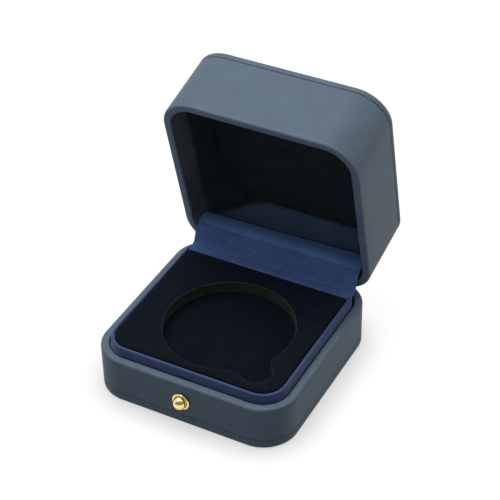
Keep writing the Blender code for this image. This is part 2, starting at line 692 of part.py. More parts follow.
# Lid, built as closed
def build_lid():
    panel = plate("lid_top_panel", 0.0, PANEL_FOOT, LID_TOP, ((PANEL_FOOT, PLATE_LIP), (LID_TOP, PANEL_ARRIS)))
    cover = wrap("lid_cover", LID_SEAM, LID_RIM, LID_FLANGE_TOP, True)
    window = ((-KEEPER_HALF - GAP, WINDOW_OUT, 0.0), (KEEPER_HALF + GAP, WINDOW_IN, KEEPER_TOP + GAP))
    cut(cover, box("window", *window))
    frame = clear_rear(wall("lid_frame", FRAME_OUT, FRAME_IN, LID_RIM + FRAME_OUT, LID_SEAM), FRAME_OUT, True)
    rivet_holes(frame, LID_RIVET_Z)
    lining = wall("lid_wall_lining", LINING_OUT, WALL, LINING_FOOT, LINING_TOP)
    cut(lining, box("window", *window),
        box("rear", (-REAR_LINING_HALF - GAP, 0.0, 0.0), (REAR_LINING_HALF + GAP, FAR, FAR)))
    ceiling = plate("lid_ceiling_pad", CEILING_INSET, LID_SEAM - CEILING_DEPTH, LID_SEAM)
    rear = wall("lid_rear_lining", LINING_OUT, WALL, REAR_LINING_FOOT, LINING_TOP)
    combine(rear, box("middle", (-REAR_LINING_HALF, 0.0, 0.0), (REAR_LINING_HALF, FAR, FAR)), "INTERSECT")
    rivet_holes(rear, LID_RIVET_Z)
    board = along_x("lid_hinge_board",
                    [(LID_BOARD_Y, LID_BOARD_FOOT), (LID_BOARD_Y + LID_BOARD, LID_BOARD_FOOT),
                     (LID_BOARD_Y + LID_BOARD, LID_BOARD_TOP - LID_BOARD),
                     (LID_BOARD_BACK, LID_BOARD_TOP - LID_BOARD), (LID_BOARD_BACK, LID_BOARD_TOP),
                     (LID_BOARD_Y, LID_BOARD_TOP)], -STRIP_HALF, STRIP_HALF)
    combine(board, plate("inside", CEILING_INSET, 0.0, FAR), "INTERSECT")
    keeper = box("lid_keeper_plate", (-KEEPER_HALF, KEEPER_OUT, KEEPER_FOOT),
                 (KEEPER_HALF, KEEPER_IN, KEEPER_TOP))
    cut(keeper, box("slot", (-KEEPER_SLOT_HALF, KEEPER_OUT - OVERCUT, KEEPER_SLOT[0]),
                    (KEEPER_SLOT_HALF, KEEPER_IN + OVERCUT, KEEPER_SLOT[1])))
    return (panel, cover, frame, lining, ceiling, rear, board, keeper,
            leaf("lid_hinge_leaf", PIVOT_Z + LEAF_RISE, True, 1, LID_RIVET_Z)) + rivets("lid_hinge_rivet", LID_RIVET_Z)


# Materials
def material(name, colour, metallic, roughness):
    mat = bpy.data.materials.new(name)
    mat.use_nodes = True
    shader = mat.node_tree.nodes["Principled BSDF"]
    shader.inputs["Base Color"].default_value = colour + (1.0,)
    shader.inputs["Metallic"].default_value = metallic
    shader.inputs["Roughness"].default_value = roughness
    mat.diffuse_color = colour + (1.0,)
    return mat


LEATHERETTE = ((0.085, 0.115, 0.145), 0.0, 0.55)
SUEDE = ((0.040, 0.070, 0.180), 0.0, 0.95)
VELVET_LOOK = ((0.008, 0.011, 0.020), 0.0, 1.0)
BOARD_LOOK = ((0.110, 0.110, 0.115), 0.0, 0.9)
FOAM_LOOK = ((0.020, 0.021, 0.022), 0.0, 1.0)
STEEL = ((0.560, 0.560, 0.560), 1.0, 0.35)
DARK_STEEL = ((0.060, 0.060, 0.070), 1.0, 0.45)
GOLD = ((0.850, 0.620, 0.230), 1.0, 0.12)
LOOKS = {
    "base_bottom_plate": LEATHERETTE, "base_cover": LEATHERETTE, "base_frame": BOARD_LOOK,
    "base_collar": SUEDE, "pad_velvet_cover": VELVET_LOOK, "pad_foam_layer": FOAM_LOOK,
    "recess_floor_board": VELVET_LOOK, "insert_support_block": FOAM_LOOK,
    "base_hinge_ledge": BOARD_LOOK, "hinge_cover_strip": SUEDE, "base_hinge_leaf": STEEL,
    "hinge_pin": STEEL, "base_hinge_rivet_1": STEEL, "base_hinge_rivet_2": STEEL, "button_bezel": GOLD, "bezel_retainer": STEEL,
    "latch_bracket": DARK_STEEL, "button_return_spring": STEEL, "push_button": GOLD,
    "latch_plate": DARK_STEEL, "latch_clip": STEEL, "lid_top_panel": LEATHERETTE,
    "lid_cover": LEATHERETTE, "lid_frame": BOARD_LOOK, "lid_wall_lining": VELVET_LOOK,
    "lid_ceiling_pad": VELVET_LOOK, "lid_rear_lining": SUEDE, "lid_hinge_board": BOARD_LOOK,
    "lid_keeper_plate": STEEL, "lid_hinge_leaf": STEEL, "lid_hinge_rivet_1": STEEL, "lid_hinge_rivet_2": STEEL,
}


def finish(obj):
    clean(obj)
    obj.data.materials.clear()
    obj.data.materials.append(material(obj.name, *LOOKS[obj.name]))
    obj.data.shade_smooth()
    obj.data.set_sharp_from_angle(angle=SMOOTH_ANGLE)


def hang(pieces, name, place):
    """Parent the pieces to an empty on their joint's axis."""
    axis = bpy.data.objects.new(name, None)
    axis.location = place
    collection.objects.link(axis)
    for obj in pieces:
        obj.parent = axis
        obj.matrix_parent_inverse = Matrix.Translation(place).inverted()
    return axis


bezel, retainer, bracket, spring, pushed = build_button()
fixed = build_base() + build_pad() + build_hinge() + (bezel, retainer, bracket, spring)
lid = build_lid()
hang(pushed, "button_axis", Vector((0.0, STEM_END, BUTTON_Z)))
hang(lid, "lid_pivot", Vector((0.0, PIVOT_Y, PIVOT_Z))).rotation_euler.x = -OPEN_ANGLE
for obj in fixed + pushed + lid:
    finish(obj)
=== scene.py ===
"""Looks of the coin display case: leatherette shell, suede collar and hinge strip, velvet pad and
gold-coloured push button. Metres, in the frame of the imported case, shown open."""
import math

import bmesh
import bpy
from mathutils import Matrix, Vector


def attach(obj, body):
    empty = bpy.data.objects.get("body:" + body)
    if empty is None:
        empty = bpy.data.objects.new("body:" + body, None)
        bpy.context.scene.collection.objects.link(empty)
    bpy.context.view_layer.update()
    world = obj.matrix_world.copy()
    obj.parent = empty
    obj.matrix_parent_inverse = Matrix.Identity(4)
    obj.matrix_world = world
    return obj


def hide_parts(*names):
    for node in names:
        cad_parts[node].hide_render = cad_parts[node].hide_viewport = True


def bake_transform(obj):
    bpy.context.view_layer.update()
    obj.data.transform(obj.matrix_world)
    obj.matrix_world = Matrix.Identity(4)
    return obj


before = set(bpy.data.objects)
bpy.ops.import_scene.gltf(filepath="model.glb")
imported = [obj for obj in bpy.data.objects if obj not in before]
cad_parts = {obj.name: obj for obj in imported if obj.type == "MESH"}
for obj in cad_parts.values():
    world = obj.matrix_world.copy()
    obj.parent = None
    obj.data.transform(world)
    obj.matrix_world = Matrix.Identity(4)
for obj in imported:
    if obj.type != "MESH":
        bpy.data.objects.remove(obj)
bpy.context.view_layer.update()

# Sizes of the case, as in its solids
HALF = 0.040
CORNER = 0.0137
RIM_Z = 0.0189
GAP = 0.0003
SKIN = 0.0005
WALL = 0.0032
OPEN = math.radians(76.4)
PIVOT = Vector((0.0, 0.0380, 0.0196))
PLATE_TOP = 0.0037
WALL_FOOT = 0.0040
FLANGE_FOOT = 0.0159
LID_RIM = 0.0192
LID_FLANGE = 0.0200
LID_SEAM = 0.0461
PANEL_FOOT = 0.0464
LID_TOP = 0.0492
OUTER_ROUND = 0.0009
INNER_ROUND = 0.0005
GROOVE_HALF = 0.0272
GROOVE_DEPTH = 0.0014
STOP_CLEAR = 0.00015
COLLAR_OUT = 0.0040
COLLAR_IN = 0.0053
COLLAR_TOP = 0.0223
COLLAR_FOOT = 0.0055
COLLAR_END = 0.0278
PAD_TOP = 0.02245
PAD_INSET = 0.0056
PAD_BACK = 0.0264
PAD_FOOT = 0.01745
RECESS_FLOOR = 0.01715
BOARD_INSET = 0.0057
BOARD_FOOT = 0.0163
VELVET = 0.0006
RECESS = Vector((0.0018, -0.0066))
RECESS_R = 0.0250
NOTCH_HALF = 0.0062
NOTCH_LONG = 0.0025
NOTCH_MOUTH = math.radians(-40.0)
NOTCH_WAY = math.radians(-50.0)
BUTTON_Z = 0.0112
FAR = 0.080
WELD = 0.000002
CUT_OVER = 0.001
CORNER_STEPS = 24
TURN_STEPS = 72


# Shapes
def share(value):
    """Keeps a value between 0 and 1."""
    return min(max(value, 0.0), 1.0)


def new_piece(name, bm):
    bmesh.ops.recalc_face_normals(bm, faces=bm.faces)
    mesh = bpy.data.meshes.new(name)
    bm.to_mesh(mesh)
    bm.free()
    piece = bpy.data.objects.new(name, mesh)
    bpy.context.scene.collection.objects.link(piece)
    return piece


def smooth(piece, angle=35.0):
    piece.data.shade_smooth()
    piece.data.set_sharp_from_angle(angle=math.radians(angle))
    return piece


def rounded_square(inset, steps=CORNER_STEPS):
    """Points of the case's plan outline, drawn in by an inset."""
    half, radius = HALF - inset, CORNER - inset
    points = []
    for k, (sx, sy) in enumerate(((1, 1), (-1, 1), (-1, -1), (1, -1))):
        for i in range(steps + 1):
            a = math.pi / 2 * (k + i / steps)
            points.append((sx * (half - radius) + radius * math.cos(a),
                           sy * (half - radius) + radius * math.sin(a)))
    return points


def arc(inset, height, radius, start, end, steps=6):
    """Part of a wall's section: insets grow inwards and heights upwards."""
    return [(inset - radius * math.cos(math.radians(start + (end - start) * i / steps)),
             height + radius * math.sin(math.radians(start + (end - start) * i / steps)))
            for i in range(steps + 1)]


def plan_loops(bm, section):
    """One loop of the plan outline for each inset and height of a section."""
    return [[bm.verts.new((x, y, z)) for x, y in rounded_square(inset)] for inset, z in section]


def join_loops(bm, pairs):
    """Faces between loops of as many points; corners that coincide are taken once."""
    for a, b in pairs:
        for i in range(len(a)):
            j = (i + 1) % len(a)
            bm.faces.new(list(dict.fromkeys((a[i], a[j], b[j], b[i]))))


def band(name, section):
    """A closed section of insets and heights carried round the case."""
    bm = bmesh.new()
    loops = plan_loops(bm, section)
    join_loops(bm, zip(loops, loops[1:] + loops[:1]))
    return new_piece(name, bm)


def slab(name, section, crown=0.0, crown_loops=0):
    """A plate whose edge follows an open section; its last face may swell by a crown."""
    bm = bmesh.new()
    loops = plan_loops(bm, section)
    inset, z = section[-1]
    edge = rounded_square(inset)
    for k in range(1, crown_loops + 1):
        s = 1.0 - k / (crown_loops + 1)
        loops.append([bm.verts.new((x * s, y * s, z + crown * (1.0 - s ** 4))) for x, y in edge])
    join_loops(bm, zip(loops, loops[1:]))
    bm.faces.new(loops[0][::-1])
    bm.faces.new(loops[-1])
    return new_piece(name, bm)


def prism(name, first, last):
    """A solid between two end outlines."""
    bm = bmesh.new()
    ends = [[bm.verts.new(corner) for corner in end] for end in (first, last)]
    for end in ends:
        bm.faces.new(end)
    join_loops(bm, [ends])
    return new_piece(name, bm)


def prism_x(name, outline, x0, x1):
    """A y, z outline between two x planes."""
    return prism(name, *([(x, y, z) for y, z in outline] for x in (x0, x1)))


def prism_z(name, outline, z0, z1):
    """An x, y outline between two z planes."""
    return prism(name, *([(x, y, z) for x, y in outline] for z in (z0, z1)))


def block(name, low, high):
    """A box between its lowest and its highest corner."""
    outline = ((low[0], low[1]), (high[0], low[1]), (high[0], high[1]), (low[0], high[1]))
    return prism_z(name, outline, low[2], high[2])


def turned(name, profile, steps=TURN_STEPS, closed=False):
    """A piece turned about the button's axis; the profile holds y and radius."""
    bm = bmesh.new()
    rows = []
    for y, radius in profile:
        if radius < WELD:
            rows.append([bm.verts.new((0.0, y, BUTTON_Z))] * steps)
        else:
            rows.append([bm.verts.new((radius * math.cos(math.tau * i / steps), y,
                                       BUTTON_Z + radius * math.sin(math.tau * i / steps)))
                         for i in range(steps)])
    join_loops(bm, zip(rows, rows[1:] + (rows[:1] if closed else [])))
    return new_piece(name, bm)


def bore(start, end, radius, steps):
    """A round cutter on the button's axis."""
    return turned("hole", ((start, 0.0), (start, radius), (end, radius), (end, 0.0)), steps)


def carve(piece, *cutters, operation="DIFFERENCE"):
    """Cuts a piece with others, which are used up."""
    for cutter in cutters:
        step = piece.modifiers.new("carve", "BOOLEAN")
        step.operation = operation
        step.solver = "EXACT"
        step.object = cutter
        graph = bpy.context.evaluated_depsgraph_get()
        mesh = bpy.data.meshes.new_from_object(piece.evaluated_get(graph))
        piece.modifiers.clear()
        old = piece.data
        piece.data = mesh
        bpy.data.meshes.remove(old)
        mesh.name = piece.name
        shape = cutter.data
        bpy.data.objects.remove(cutter, do_unlink=True)
        bpy.data.meshes.remove(shape)
    return piece


def flip(z, lid):
    """A height of the lid mirrored in the hinge's level, and one of the base as it is."""
    return 2 * PIVOT.z - z if lid else z


GROOVE_REACH = 0.010
BEVEL_REACH = 0.006
BEVEL_TALL = 0.012


def rear_cutters(lid):
    """Groove for the hinge and the bevel where base and lid meet when open."""
    foot, top = flip(PIVOT.z - GROOVE_DEPTH, lid), flip(PIVOT.z + GROOVE_REACH, lid)
    groove = block("groove", (-GROOVE_HALF, HALF - GROOVE_REACH, min(foot, top)),
                   (GROOVE_HALF, HALF + GROOVE_REACH, max(foot, top)))
    c, s = math.cos(OPEN / 2), math.sin(OPEN / 2)
    y, z = PIVOT.y - s * STOP_CLEAR, PIVOT.z - c * STOP_CLEAR
    outline = [(y - BEVEL_REACH * c, z + BEVEL_REACH * s), (y + BEVEL_REACH * c, z - BEVEL_REACH * s),
               (y + BEVEL_REACH * c, z + BEVEL_TALL), (y - BEVEL_REACH * c, z + BEVEL_TALL)]
    bevel = prism_x("bevel", [(a, flip(b, lid)) for a, b in outline], -HALF, HALF)
    return groove, bevel


def swing_open(piece):
    """A lid piece is drawn shut and turned open about the hinge."""
    turn = Matrix.Translation(PIVOT) @ Matrix.Rotation(-OPEN, 4, "X") @ Matrix.Translation(-PIVOT)
    piece.data.transform(turn)
    return piece


def skin_section(foot, rim, flange, lid):
    """Leatherette up the outside, over the rounded rim and down inside."""
    foot, rim, flange = (flip(z, lid) for z in (foot, rim, flange))
    outside = [(0.0, foot)] + [(0.0, foot + (rim - foot) * k / 4) for k in (1, 2, 3)]
    outside += arc(OUTER_ROUND, rim - OUTER_ROUND, OUTER_ROUND, 0, 90)
    outside += arc(WALL - INNER_ROUND, rim - INNER_ROUND, INNER_ROUND, 90, 180)
    outside.append((WALL, flange))
    inside = [(WALL - SKIN, flange)]
    inside += arc(WALL - INNER_ROUND, rim - INNER_ROUND, INNER_ROUND / 4, 180, 90, 2)
    inside += arc(OUTER_ROUND, rim - OUTER_ROUND, OUTER_ROUND - SKIN, 90, 0, 3)
    inside.append((SKIN, foot))
    return [(inset, flip(z, lid)) for inset, z in outside + inside]


# Material effects, each a group that several materials share
VALUE, VECTOR = "NodeSocketFloat", "NodeSocketVector"
PLACE_IN = ("Place", VECTOR, None)
HEIGHT_TONE = (("Height", VALUE), ("Tone", VALUE))


def group(name, inputs, outputs):
    tree = bpy.data.node_groups.new(name, "ShaderNodeTree")
    for label, kind, value in inputs:
        socket = tree.interface.new_socket(label, in_out="INPUT", socket_type=kind)
        if value is not None:
            socket.default_value = value
    for label, kind in outputs:
        tree.interface.new_socket(label, in_out="OUTPUT", socket_type=kind)
    return tree, tree.nodes.new("NodeGroupInput"), tree.nodes.new("NodeGroupOutput")


def node(tree, kind, inputs=(), **values):
    """Adds a node, sets its properties, and wires or sets each (socket, source) pair of inputs."""
    new = tree.nodes.new(kind)
    for key, value in values.items():
        setattr(new, key, value)
    for socket, source in inputs:
        if hasattr(source, "links"):
            tree.links.new(source, new.inputs[socket])
        else:
            new.inputs[socket].default_value = source
    return new


def mix_colour(tree, fac, a, b, blend="MIX"):
    mix = node(tree, "ShaderNodeMix", ((0, fac), (6, a), (7, b)), data_type="RGBA", blend_type=blend)
    return mix.outputs[2]


def math_node(tree, operation, *sources):
    return node(tree, "ShaderNodeMath", enumerate(sources), operation=operation).outputs[0]


def add(tree, a, b):
    return math_node(tree, "ADD", a, b)


def times(tree, a, b):
    return math_node(tree, "MULTIPLY", a, b)


def along(tree, vector, way):
    """How far a vector reaches along a direction."""
    product = node(tree, "ShaderNodeVectorMath", ((0, vector), (1, way)), operation="DOT_PRODUCT")
    return product.outputs["Value"]


def map_range(tree, value, start, end, low=0.0, high=1.0):
    """Goes from low to high while the value goes from start to end."""
    return node(tree, "ShaderNodeMapRange", (("Value", value), ("From Min", start), ("From Max", end),
                                             ("To Min", low), ("To Max", high))).outputs["Result"]


def grain_group():
    """Fine pebbled grain of leatherette with soft cloudy tone."""
    tree, start, end = group("leatherette_grain", (PLACE_IN, ("Pebbles", VALUE, 2600.0),
                                                   ("Cloud", VALUE, 110.0)), HEIGHT_TONE)
    place = start.outputs["Place"]
    pebbles = start.outputs["Pebbles"]
    cells = node(tree, "ShaderNodeTexVoronoi", (("Vector", place), ("Scale", pebbles), ("Smoothness", 0.6)),
                 feature="SMOOTH_F1")
    creases = node(tree, "ShaderNodeTexNoise", (("Vector", place), ("Scale", start.outputs["Cloud"]),
                                                ("Detail", 6.0), ("Roughness", 0.62))).outputs["Fac"]
    fine = node(tree, "ShaderNodeTexNoise", (("Vector", place), ("Scale", times(tree, pebbles, 0.35)),
                                             ("Detail", 3.0))).outputs["Fac"]
    height = add(tree, times(tree, cells.outputs["Distance"], -0.7), times(tree, fine, 0.8))
    tone = add(tree, times(tree, creases, 0.55), times(tree, fine, 0.45))
    tree.links.new(height, end.inputs["Height"])
    tree.links.new(tone, end.inputs["Tone"])
    return tree


def nap_group():
    """Short nap of suede and velvet: fine fibres and patches where the nap lies differently."""
    tree, start, end = group("brushed_nap", (PLACE_IN, ("Fibres", VALUE, 5200.0), ("Patches", VALUE, 170.0),
                                             ("Stretch", VECTOR, (1.0, 1.0, 1.0))), HEIGHT_TONE)
    place = node(tree, "ShaderNodeVectorMath", ((0, start.outputs["Place"]), (1, start.outputs["Stretch"])),
                 operation="MULTIPLY").outputs[0]
    fibres = node(tree, "ShaderNodeTexNoise", (("Vector", place), ("Scale", start.outputs["Fibres"]),
                                               ("Detail", 4.0), ("Roughness", 0.7))).outputs["Fac"]
    flecks = node(tree, "ShaderNodeTexNoise", (("Vector", place), ("Scale", 1900.0),
                                               ("Detail", 2.0))).outputs["Fac"]
    patches = node(tree, "ShaderNodeTexNoise", (("Vector", place), ("Scale", start.outputs["Patches"]),
                                                ("Detail", 5.0), ("Roughness", 0.6),
                                                ("Distortion", 0.6))).outputs["Fac"]
    height = add(tree, fibres, times(tree, patches, 1.5))
    tone = add(tree, times(tree, patches, 0.45), times(tree, flecks, 0.40))
    tone = add(tree, tone, times(tree, fibres, 0.15))
    tree.links.new(height, end.inputs["Height"])
    tree.links.new(tone, end.inputs["Tone"])
    return tree


def marks_group():
    """Fine marks of metal, from brushing or polishing."""
    tree, start, end = group("metal_marks", (PLACE_IN, ("Scale", VALUE, 1800.0)), (("Marks", VALUE),))
    marks = node(tree, "ShaderNodeTexNoise", (("Vector", start.outputs["Place"]),
                                              ("Scale", start.outputs["Scale"]), ("Detail", 5.0)))
    tree.links.new(marks.outputs["Fac"], end.inputs["Marks"])
    return tree


def core_group():
    """Pores and cloudy tone of foam, board and cut edges."""
    tree, start, end = group("open_pores", (PLACE_IN, ("Pores", VALUE, 1500.0), ("Cloud", VALUE, 220.0)),
                             HEIGHT_TONE)
    place = start.outputs["Place"]
    pores = node(tree, "ShaderNodeTexVoronoi", (("Vector", place), ("Scale", start.outputs["Pores"])))
    cloud = node(tree, "ShaderNodeTexNoise", (("Vector", place), ("Scale", start.outputs["Cloud"]),
                                              ("Detail", 5.0)))
    tree.links.new(pores.outputs["Distance"], end.inputs["Height"])
    tree.links.new(cloud.outputs["Fac"], end.inputs["Tone"])
    return tree


def depth_group():
    """Height inside the open lid, measured as if it were shut."""
    tree, start, end = group("open_lid_depth", (PLACE_IN,), (("Depth", VALUE),))
    up = along(tree, start.outputs["Place"], (0.0, math.sin(OPEN), math.cos(OPEN)))
    shut = PIVOT.z - PIVOT.y * math.sin(OPEN) - PIVOT.z * math.cos(OPEN)
    tree.links.new(add(tree, up, shut), end.inputs["Depth"])
    return tree


GRAIN, NAP, MARKS = grain_group(), nap_group(), marks_group()
PORES, DEPTH = core_group(), depth_group()


def start_material(name):
    material = bpy.data.materials.new(name)
    material.use_nodes = True
    tree = material.node_tree
    return material, tree, tree.nodes["Principled BSDF"], node(tree, "ShaderNodeTexCoord").outputs["Object"]


def place_group(tree, shared, place, **values):
    new = node(tree, "ShaderNodeGroup", node_tree=shared)
    tree.links.new(place, new.inputs["Place"])
    for key, value in values.items():
        new.inputs[key].default_value = value
    return new


def ramp(tree, fac, stops):
    new = node(tree, "ShaderNodeValToRGB", (("Fac", fac),))
    elements = new.color_ramp.elements
    while len(elements) < len(stops):
        elements.new(0.5)
    for element, (position, colour) in zip(elements, stops):
        element.position = position
        element.color = (*colour, 1.0)
    return new.outputs["Color"]


def bump(tree, shader, height, strength, distance):
    new = node(tree, "ShaderNodeBump", (("Height", height), ("Strength", strength), ("Distance", distance)))
    tree.links.new(new.outputs["Normal"], shader.inputs["Normal"])


def rise(tree, place, axis, low, high):
    """Rises from 0 to 1 between two places along an axis."""
    apart = node(tree, "ShaderNodeSeparateXYZ", (("Vector", place),))
    return map_range(tree, apart.outputs[axis], low, high)


def fade(tree, value, start, end):
    """1 before the start, 0 past the end."""
    return map_range(tree, value, start, end, 1.0, 0.0)


LEATHER_ROUGH = 0.55
# painted highlight along the lid's rim: heights above the rim, as if shut, where it starts and ends fading
RIM_HIGHLIGHT_FROM, RIM_HIGHLIGHT_TO = 0.0004, 0.0012


def leatherette(name, dark, light, rim_highlight=None):
    """Pebbled leatherette, with a painted highlight along the lid's rim; the last argument is how much
    lighter each colour is painted there.
    """
    material, tree, shader, place = start_material(name)
    grain = place_group(tree, GRAIN, place)
    colour = ramp(tree, grain.outputs["Tone"], ((0.34, dark), (0.66, light)))
    # painted highlight: the lid's rim is made lighter, as where its rounded edge catches the light
    if rim_highlight:
        depth = place_group(tree, DEPTH, place).outputs["Depth"]
        rim = fade(tree, depth, LID_RIM + RIM_HIGHLIGHT_FROM, LID_RIM + RIM_HIGHLIGHT_TO)
        colour = mix_colour(tree, rim, colour, mix_colour(tree, 1.0, colour, (*rim_highlight, 1.0), "MULTIPLY"))
    tree.links.new(colour, shader.inputs["Base Color"])
    roughness = map_range(tree, grain.outputs["Tone"], 0.3, 0.7, LEATHER_ROUGH - 0.05, LEATHER_ROUGH + 0.06)
    tree.links.new(roughness, shader.inputs["Roughness"])
    bump(tree, shader, grain.outputs["Height"], 0.22, 0.00005)
    shader.inputs["Specular IOR Level"].default_value = 0.18
    return material


def nap_tones(tree, nap, dark, light):
    return ramp(tree, nap.outputs["Tone"], ((0.36, dark), (0.62, light)))


def nap_finish(tree, shader, nap, sheen, tint):
    """The dull, slightly frosted surface that suede and velvet share."""
    bump(tree, shader, nap.outputs["Height"], 0.5, 0.00012)
    shader.inputs["Roughness"].default_value = 0.95
    shader.inputs["Specular IOR Level"].default_value = 0.12
    shader.inputs["Sheen Weight"].default_value = sheen
    shader.inputs["Sheen Roughness"].default_value = 0.45
    shader.inputs["Sheen Tint"].default_value = (*tint, 1.0)


def napped(name, dark, light, sheen, tint, patches=170.0, fibres=5200.0, stretch=(1.0, 1.0, 1.0),
           painted_band=None):
    """Suede or velvet; the last argument holds an axis, where a band of painted light starts, peaks and ends,
    and its gain.
    """
    material, tree, shader, place = start_material(name)
    nap = place_group(tree, NAP, place, Patches=patches, Fibres=fibres, Stretch=stretch)
    colour = nap_tones(tree, nap, dark, light)
    if painted_band:
        # painted light: the colour is lifted by the gain in a band along the axis
        axis, low, high, gone, gain = painted_band
        lifted = mix_colour(tree, 1.0, colour, (gain, gain, gain, 1.0), "MULTIPLY")
        past = rise(tree, place, axis, high, gone)
        mask = math_node(tree, "SUBTRACT", rise(tree, place, axis, low, high), past)
        colour = mix_colour(tree, mask, colour, lifted)
    tree.links.new(colour, shader.inputs["Base Color"])
    nap_finish(tree, shader, nap, sheen, tint)
    return material


def metal(name, colour, rough, scratch=0.05):
    material, tree, shader, place = start_material(name)
    marks = place_group(tree, MARKS, place).outputs["Marks"]
    shade = tuple(c * 0.9 for c in colour)
    tree.links.new(ramp(tree, marks, ((0.35, shade), (0.65, colour))), shader.inputs["Base Color"])
    roughness = map_range(tree, marks, 0.3, 0.7, rough, rough + scratch)
    tree.links.new(roughness, shader.inputs["Roughness"])
    shader.inputs["Metallic"].default_value = 1.0
    bump(tree, shader, marks, 0.05, 0.00002)
    return material


def matte_core(name, dark, light, scale, depth):
    """Moulded board or foam that the coverings hide."""
    material, tree, shader, place = start_material(name)
    core = place_group(tree, PORES, place, Pores=scale)
    colour = ramp(tree, core.outputs["Tone"], ((0.35, dark), (0.65, light)))
    tree.links.new(colour, shader.inputs["Base Color"])
    bump(tree, shader, core.outputs["Height"], 0.4, depth)
    shader.inputs["Roughness"].default_value = 0.9
    shader.inputs["Specular IOR Level"].default_value = 0.2
    return material


LINING_DARK, LINING_LIGHT = (0.030, 0.041, 0.047), (0.054, 0.073, 0.083)
LIT_WALL_DARK, LIT_WALL_LIGHT = (0.124, 0.143, 0.154), (0.187, 0.211, 0.224)
CEILING_DARK, CEILING_LIGHT = (0.021, 0.028, 0.031), (0.038, 0.050, 0.056)
REAR_DARK, REAR_LIGHT = (0.104, 0.176, 0.310), (0.170, 0.268, 0.440)
LINING_TINT = (0.5, 0.58, 0.75)
# where the lining's colours fade, for the painted light band and the suede: levels as if shut, places from
# the middle, distances from the hinge
LIT_BAND_LEVELS = (0.0288, 0.0312)
LIT_BAND_SIDES = (0.0358, 0.0335)
LIT_BAND_FRONT = (0.0400, 0.0270)
REAR_BAND = (0.0080, 0.0120)
SUEDE_TOP = (0.0436, 0.0478)
# painted shadow of the left wall: where the suede's left end starts to slope, and how steeply
SUEDE_SHADOW_SLOPES = ((0.0160, 0.55), (0.0263, 0.75))


def lining_cloth(name):
    """Dark velvet of the lid, with blue suede on the rear wall. Light is painted on the side walls next to
    the rim, and the left wall's shadow is painted on the suede, whose left end slopes away from the ceiling.
    """
    material, tree, shader, place = start_material(name)
    nap = place_group(tree, NAP, place, Patches=140.0, Fibres=6000.0)
    dark = nap_tones(tree, nap, LINING_DARK, LINING_LIGHT)
    blue = nap_tones(tree, nap, REAR_DARK, REAR_LIGHT)
    lit_wall = nap_tones(tree, nap, LIT_WALL_DARK, LIT_WALL_LIGHT)
    apart = node(tree, "ShaderNodeSeparateXYZ", (("Vector", place),))
    side = math_node(tree, "ABSOLUTE", apart.outputs["X"])
    depth = place_group(tree, DEPTH, place).outputs["Depth"]
    across = along(tree, place, (0.0, math.cos(OPEN), -math.sin(OPEN)))
    back = PIVOT.y * math.cos(OPEN) - PIVOT.z * math.sin(OPEN)
    # painted light: the side walls are lighter next to the rim, most of all at the front, as where light
    # falls in through the opening
    edge = times(tree, fade(tree, depth, *LIT_BAND_LEVELS), fade(tree, side, *LIT_BAND_SIDES))
    front = fade(tree, across, *(back - inward for inward in LIT_BAND_FRONT))
    edge = times(tree, edge, times(tree, add(tree, front, 1.0), 0.5))
    dark = mix_colour(tree, edge, dark, lit_wall)
    # painted shadow: the left wall's shadow on the suede, whose left end slopes away from the ceiling
    reach = depth
    left = times(tree, apart.outputs["X"], -1.0)
    for start, slope in SUEDE_SHADOW_SLOPES:
        past = math_node(tree, "MAXIMUM", math_node(tree, "SUBTRACT", left, start), 0.0)
        reach = add(tree, reach, times(tree, past, slope))
    rear = fade(tree, across, *(back - inward for inward in REAR_BAND))
    blue_part = times(tree, rear, fade(tree, reach, *SUEDE_TOP))
    tree.links.new(mix_colour(tree, blue_part, dark, blue), shader.inputs["Base Color"])
    nap_finish(tree, shader, nap, 0.12, LINING_TINT)
    return material


LEATHER_DARK, LEATHER_LIGHT = (0.104, 0.146, 0.196), (0.136, 0.188, 0.248)
LEATHER = leatherette("slate_leatherette", LEATHER_DARK, LEATHER_LIGHT)
# the lid's leatherette, with a painted highlight along its rim
LID_LEATHER = leatherette("slate_leatherette_lid", LEATHER_DARK, LEATHER_LIGHT, (1.45, 1.45, 1.50))
SUEDE = napped("blue_suede", (0.050, 0.076, 0.180), (0.084, 0.122, 0.270), 0.50, (0.62, 0.70, 0.95))
STRIP_TINT = (0.60, 0.68, 0.95)
# painted light: the strip's upper part, under the lid, is lifted to look more lit
STRIP_SUEDE = napped("blue_suede_strip", (0.062, 0.114, 0.278), (0.108, 0.184, 0.420), 0.26, STRIP_TINT,
                     stretch=(0.35, 1.0, 1.0), painted_band=("Y", 0.0360, 0.0378, 0.0412, 1.80))
# near black: the strip's cut end, and along its face a painted shadow line where it stands off the rear
# lining
STRIP_SHADOWED_EDGE = napped("blue_suede_edge_and_shadow", (0.003, 0.005, 0.010), (0.006, 0.009, 0.018), 0.02, STRIP_TINT)
VELVET_LOOK = napped("navy_velvet", (0.0013, 0.0027, 0.0060), (0.0049, 0.0077, 0.0156), 0.09,
                     (0.32, 0.42, 0.75), 120.0, 7000.0)
FLOOR_VELVET = napped("floor_velvet", (0.0008, 0.0024, 0.0058), (0.0034, 0.0070, 0.0148), 0.08,
                      (0.30, 0.45, 0.70), 120.0, 7000.0)
LINING = lining_cloth("lid_lining")
CEILING_VELVET = napped("lid_ceiling_velvet_look", CEILING_DARK, CEILING_LIGHT, 0.12,
                        LINING_TINT, 140.0, 6000.0)
CUT_EDGE = matte_core("cut_velvet_edge", (0.022, 0.027, 0.029), (0.040, 0.047, 0.050), 3800.0, 0.00004)
FOAM = matte_core("cut_foam", (0.0200, 0.0280, 0.0190), (0.0320, 0.0430, 0.0300), 3000.0, 0.00008)
BOARD = matte_core("grey_core", (0.080, 0.082, 0.086), (0.120, 0.121, 0.124), 1500.0, 0.00003)
GOLD = metal("polished_gold", (0.93, 0.78, 0.38), 0.09)
STEEL = metal("plain_steel", (0.50, 0.50, 0.51), 0.28, 0.12)
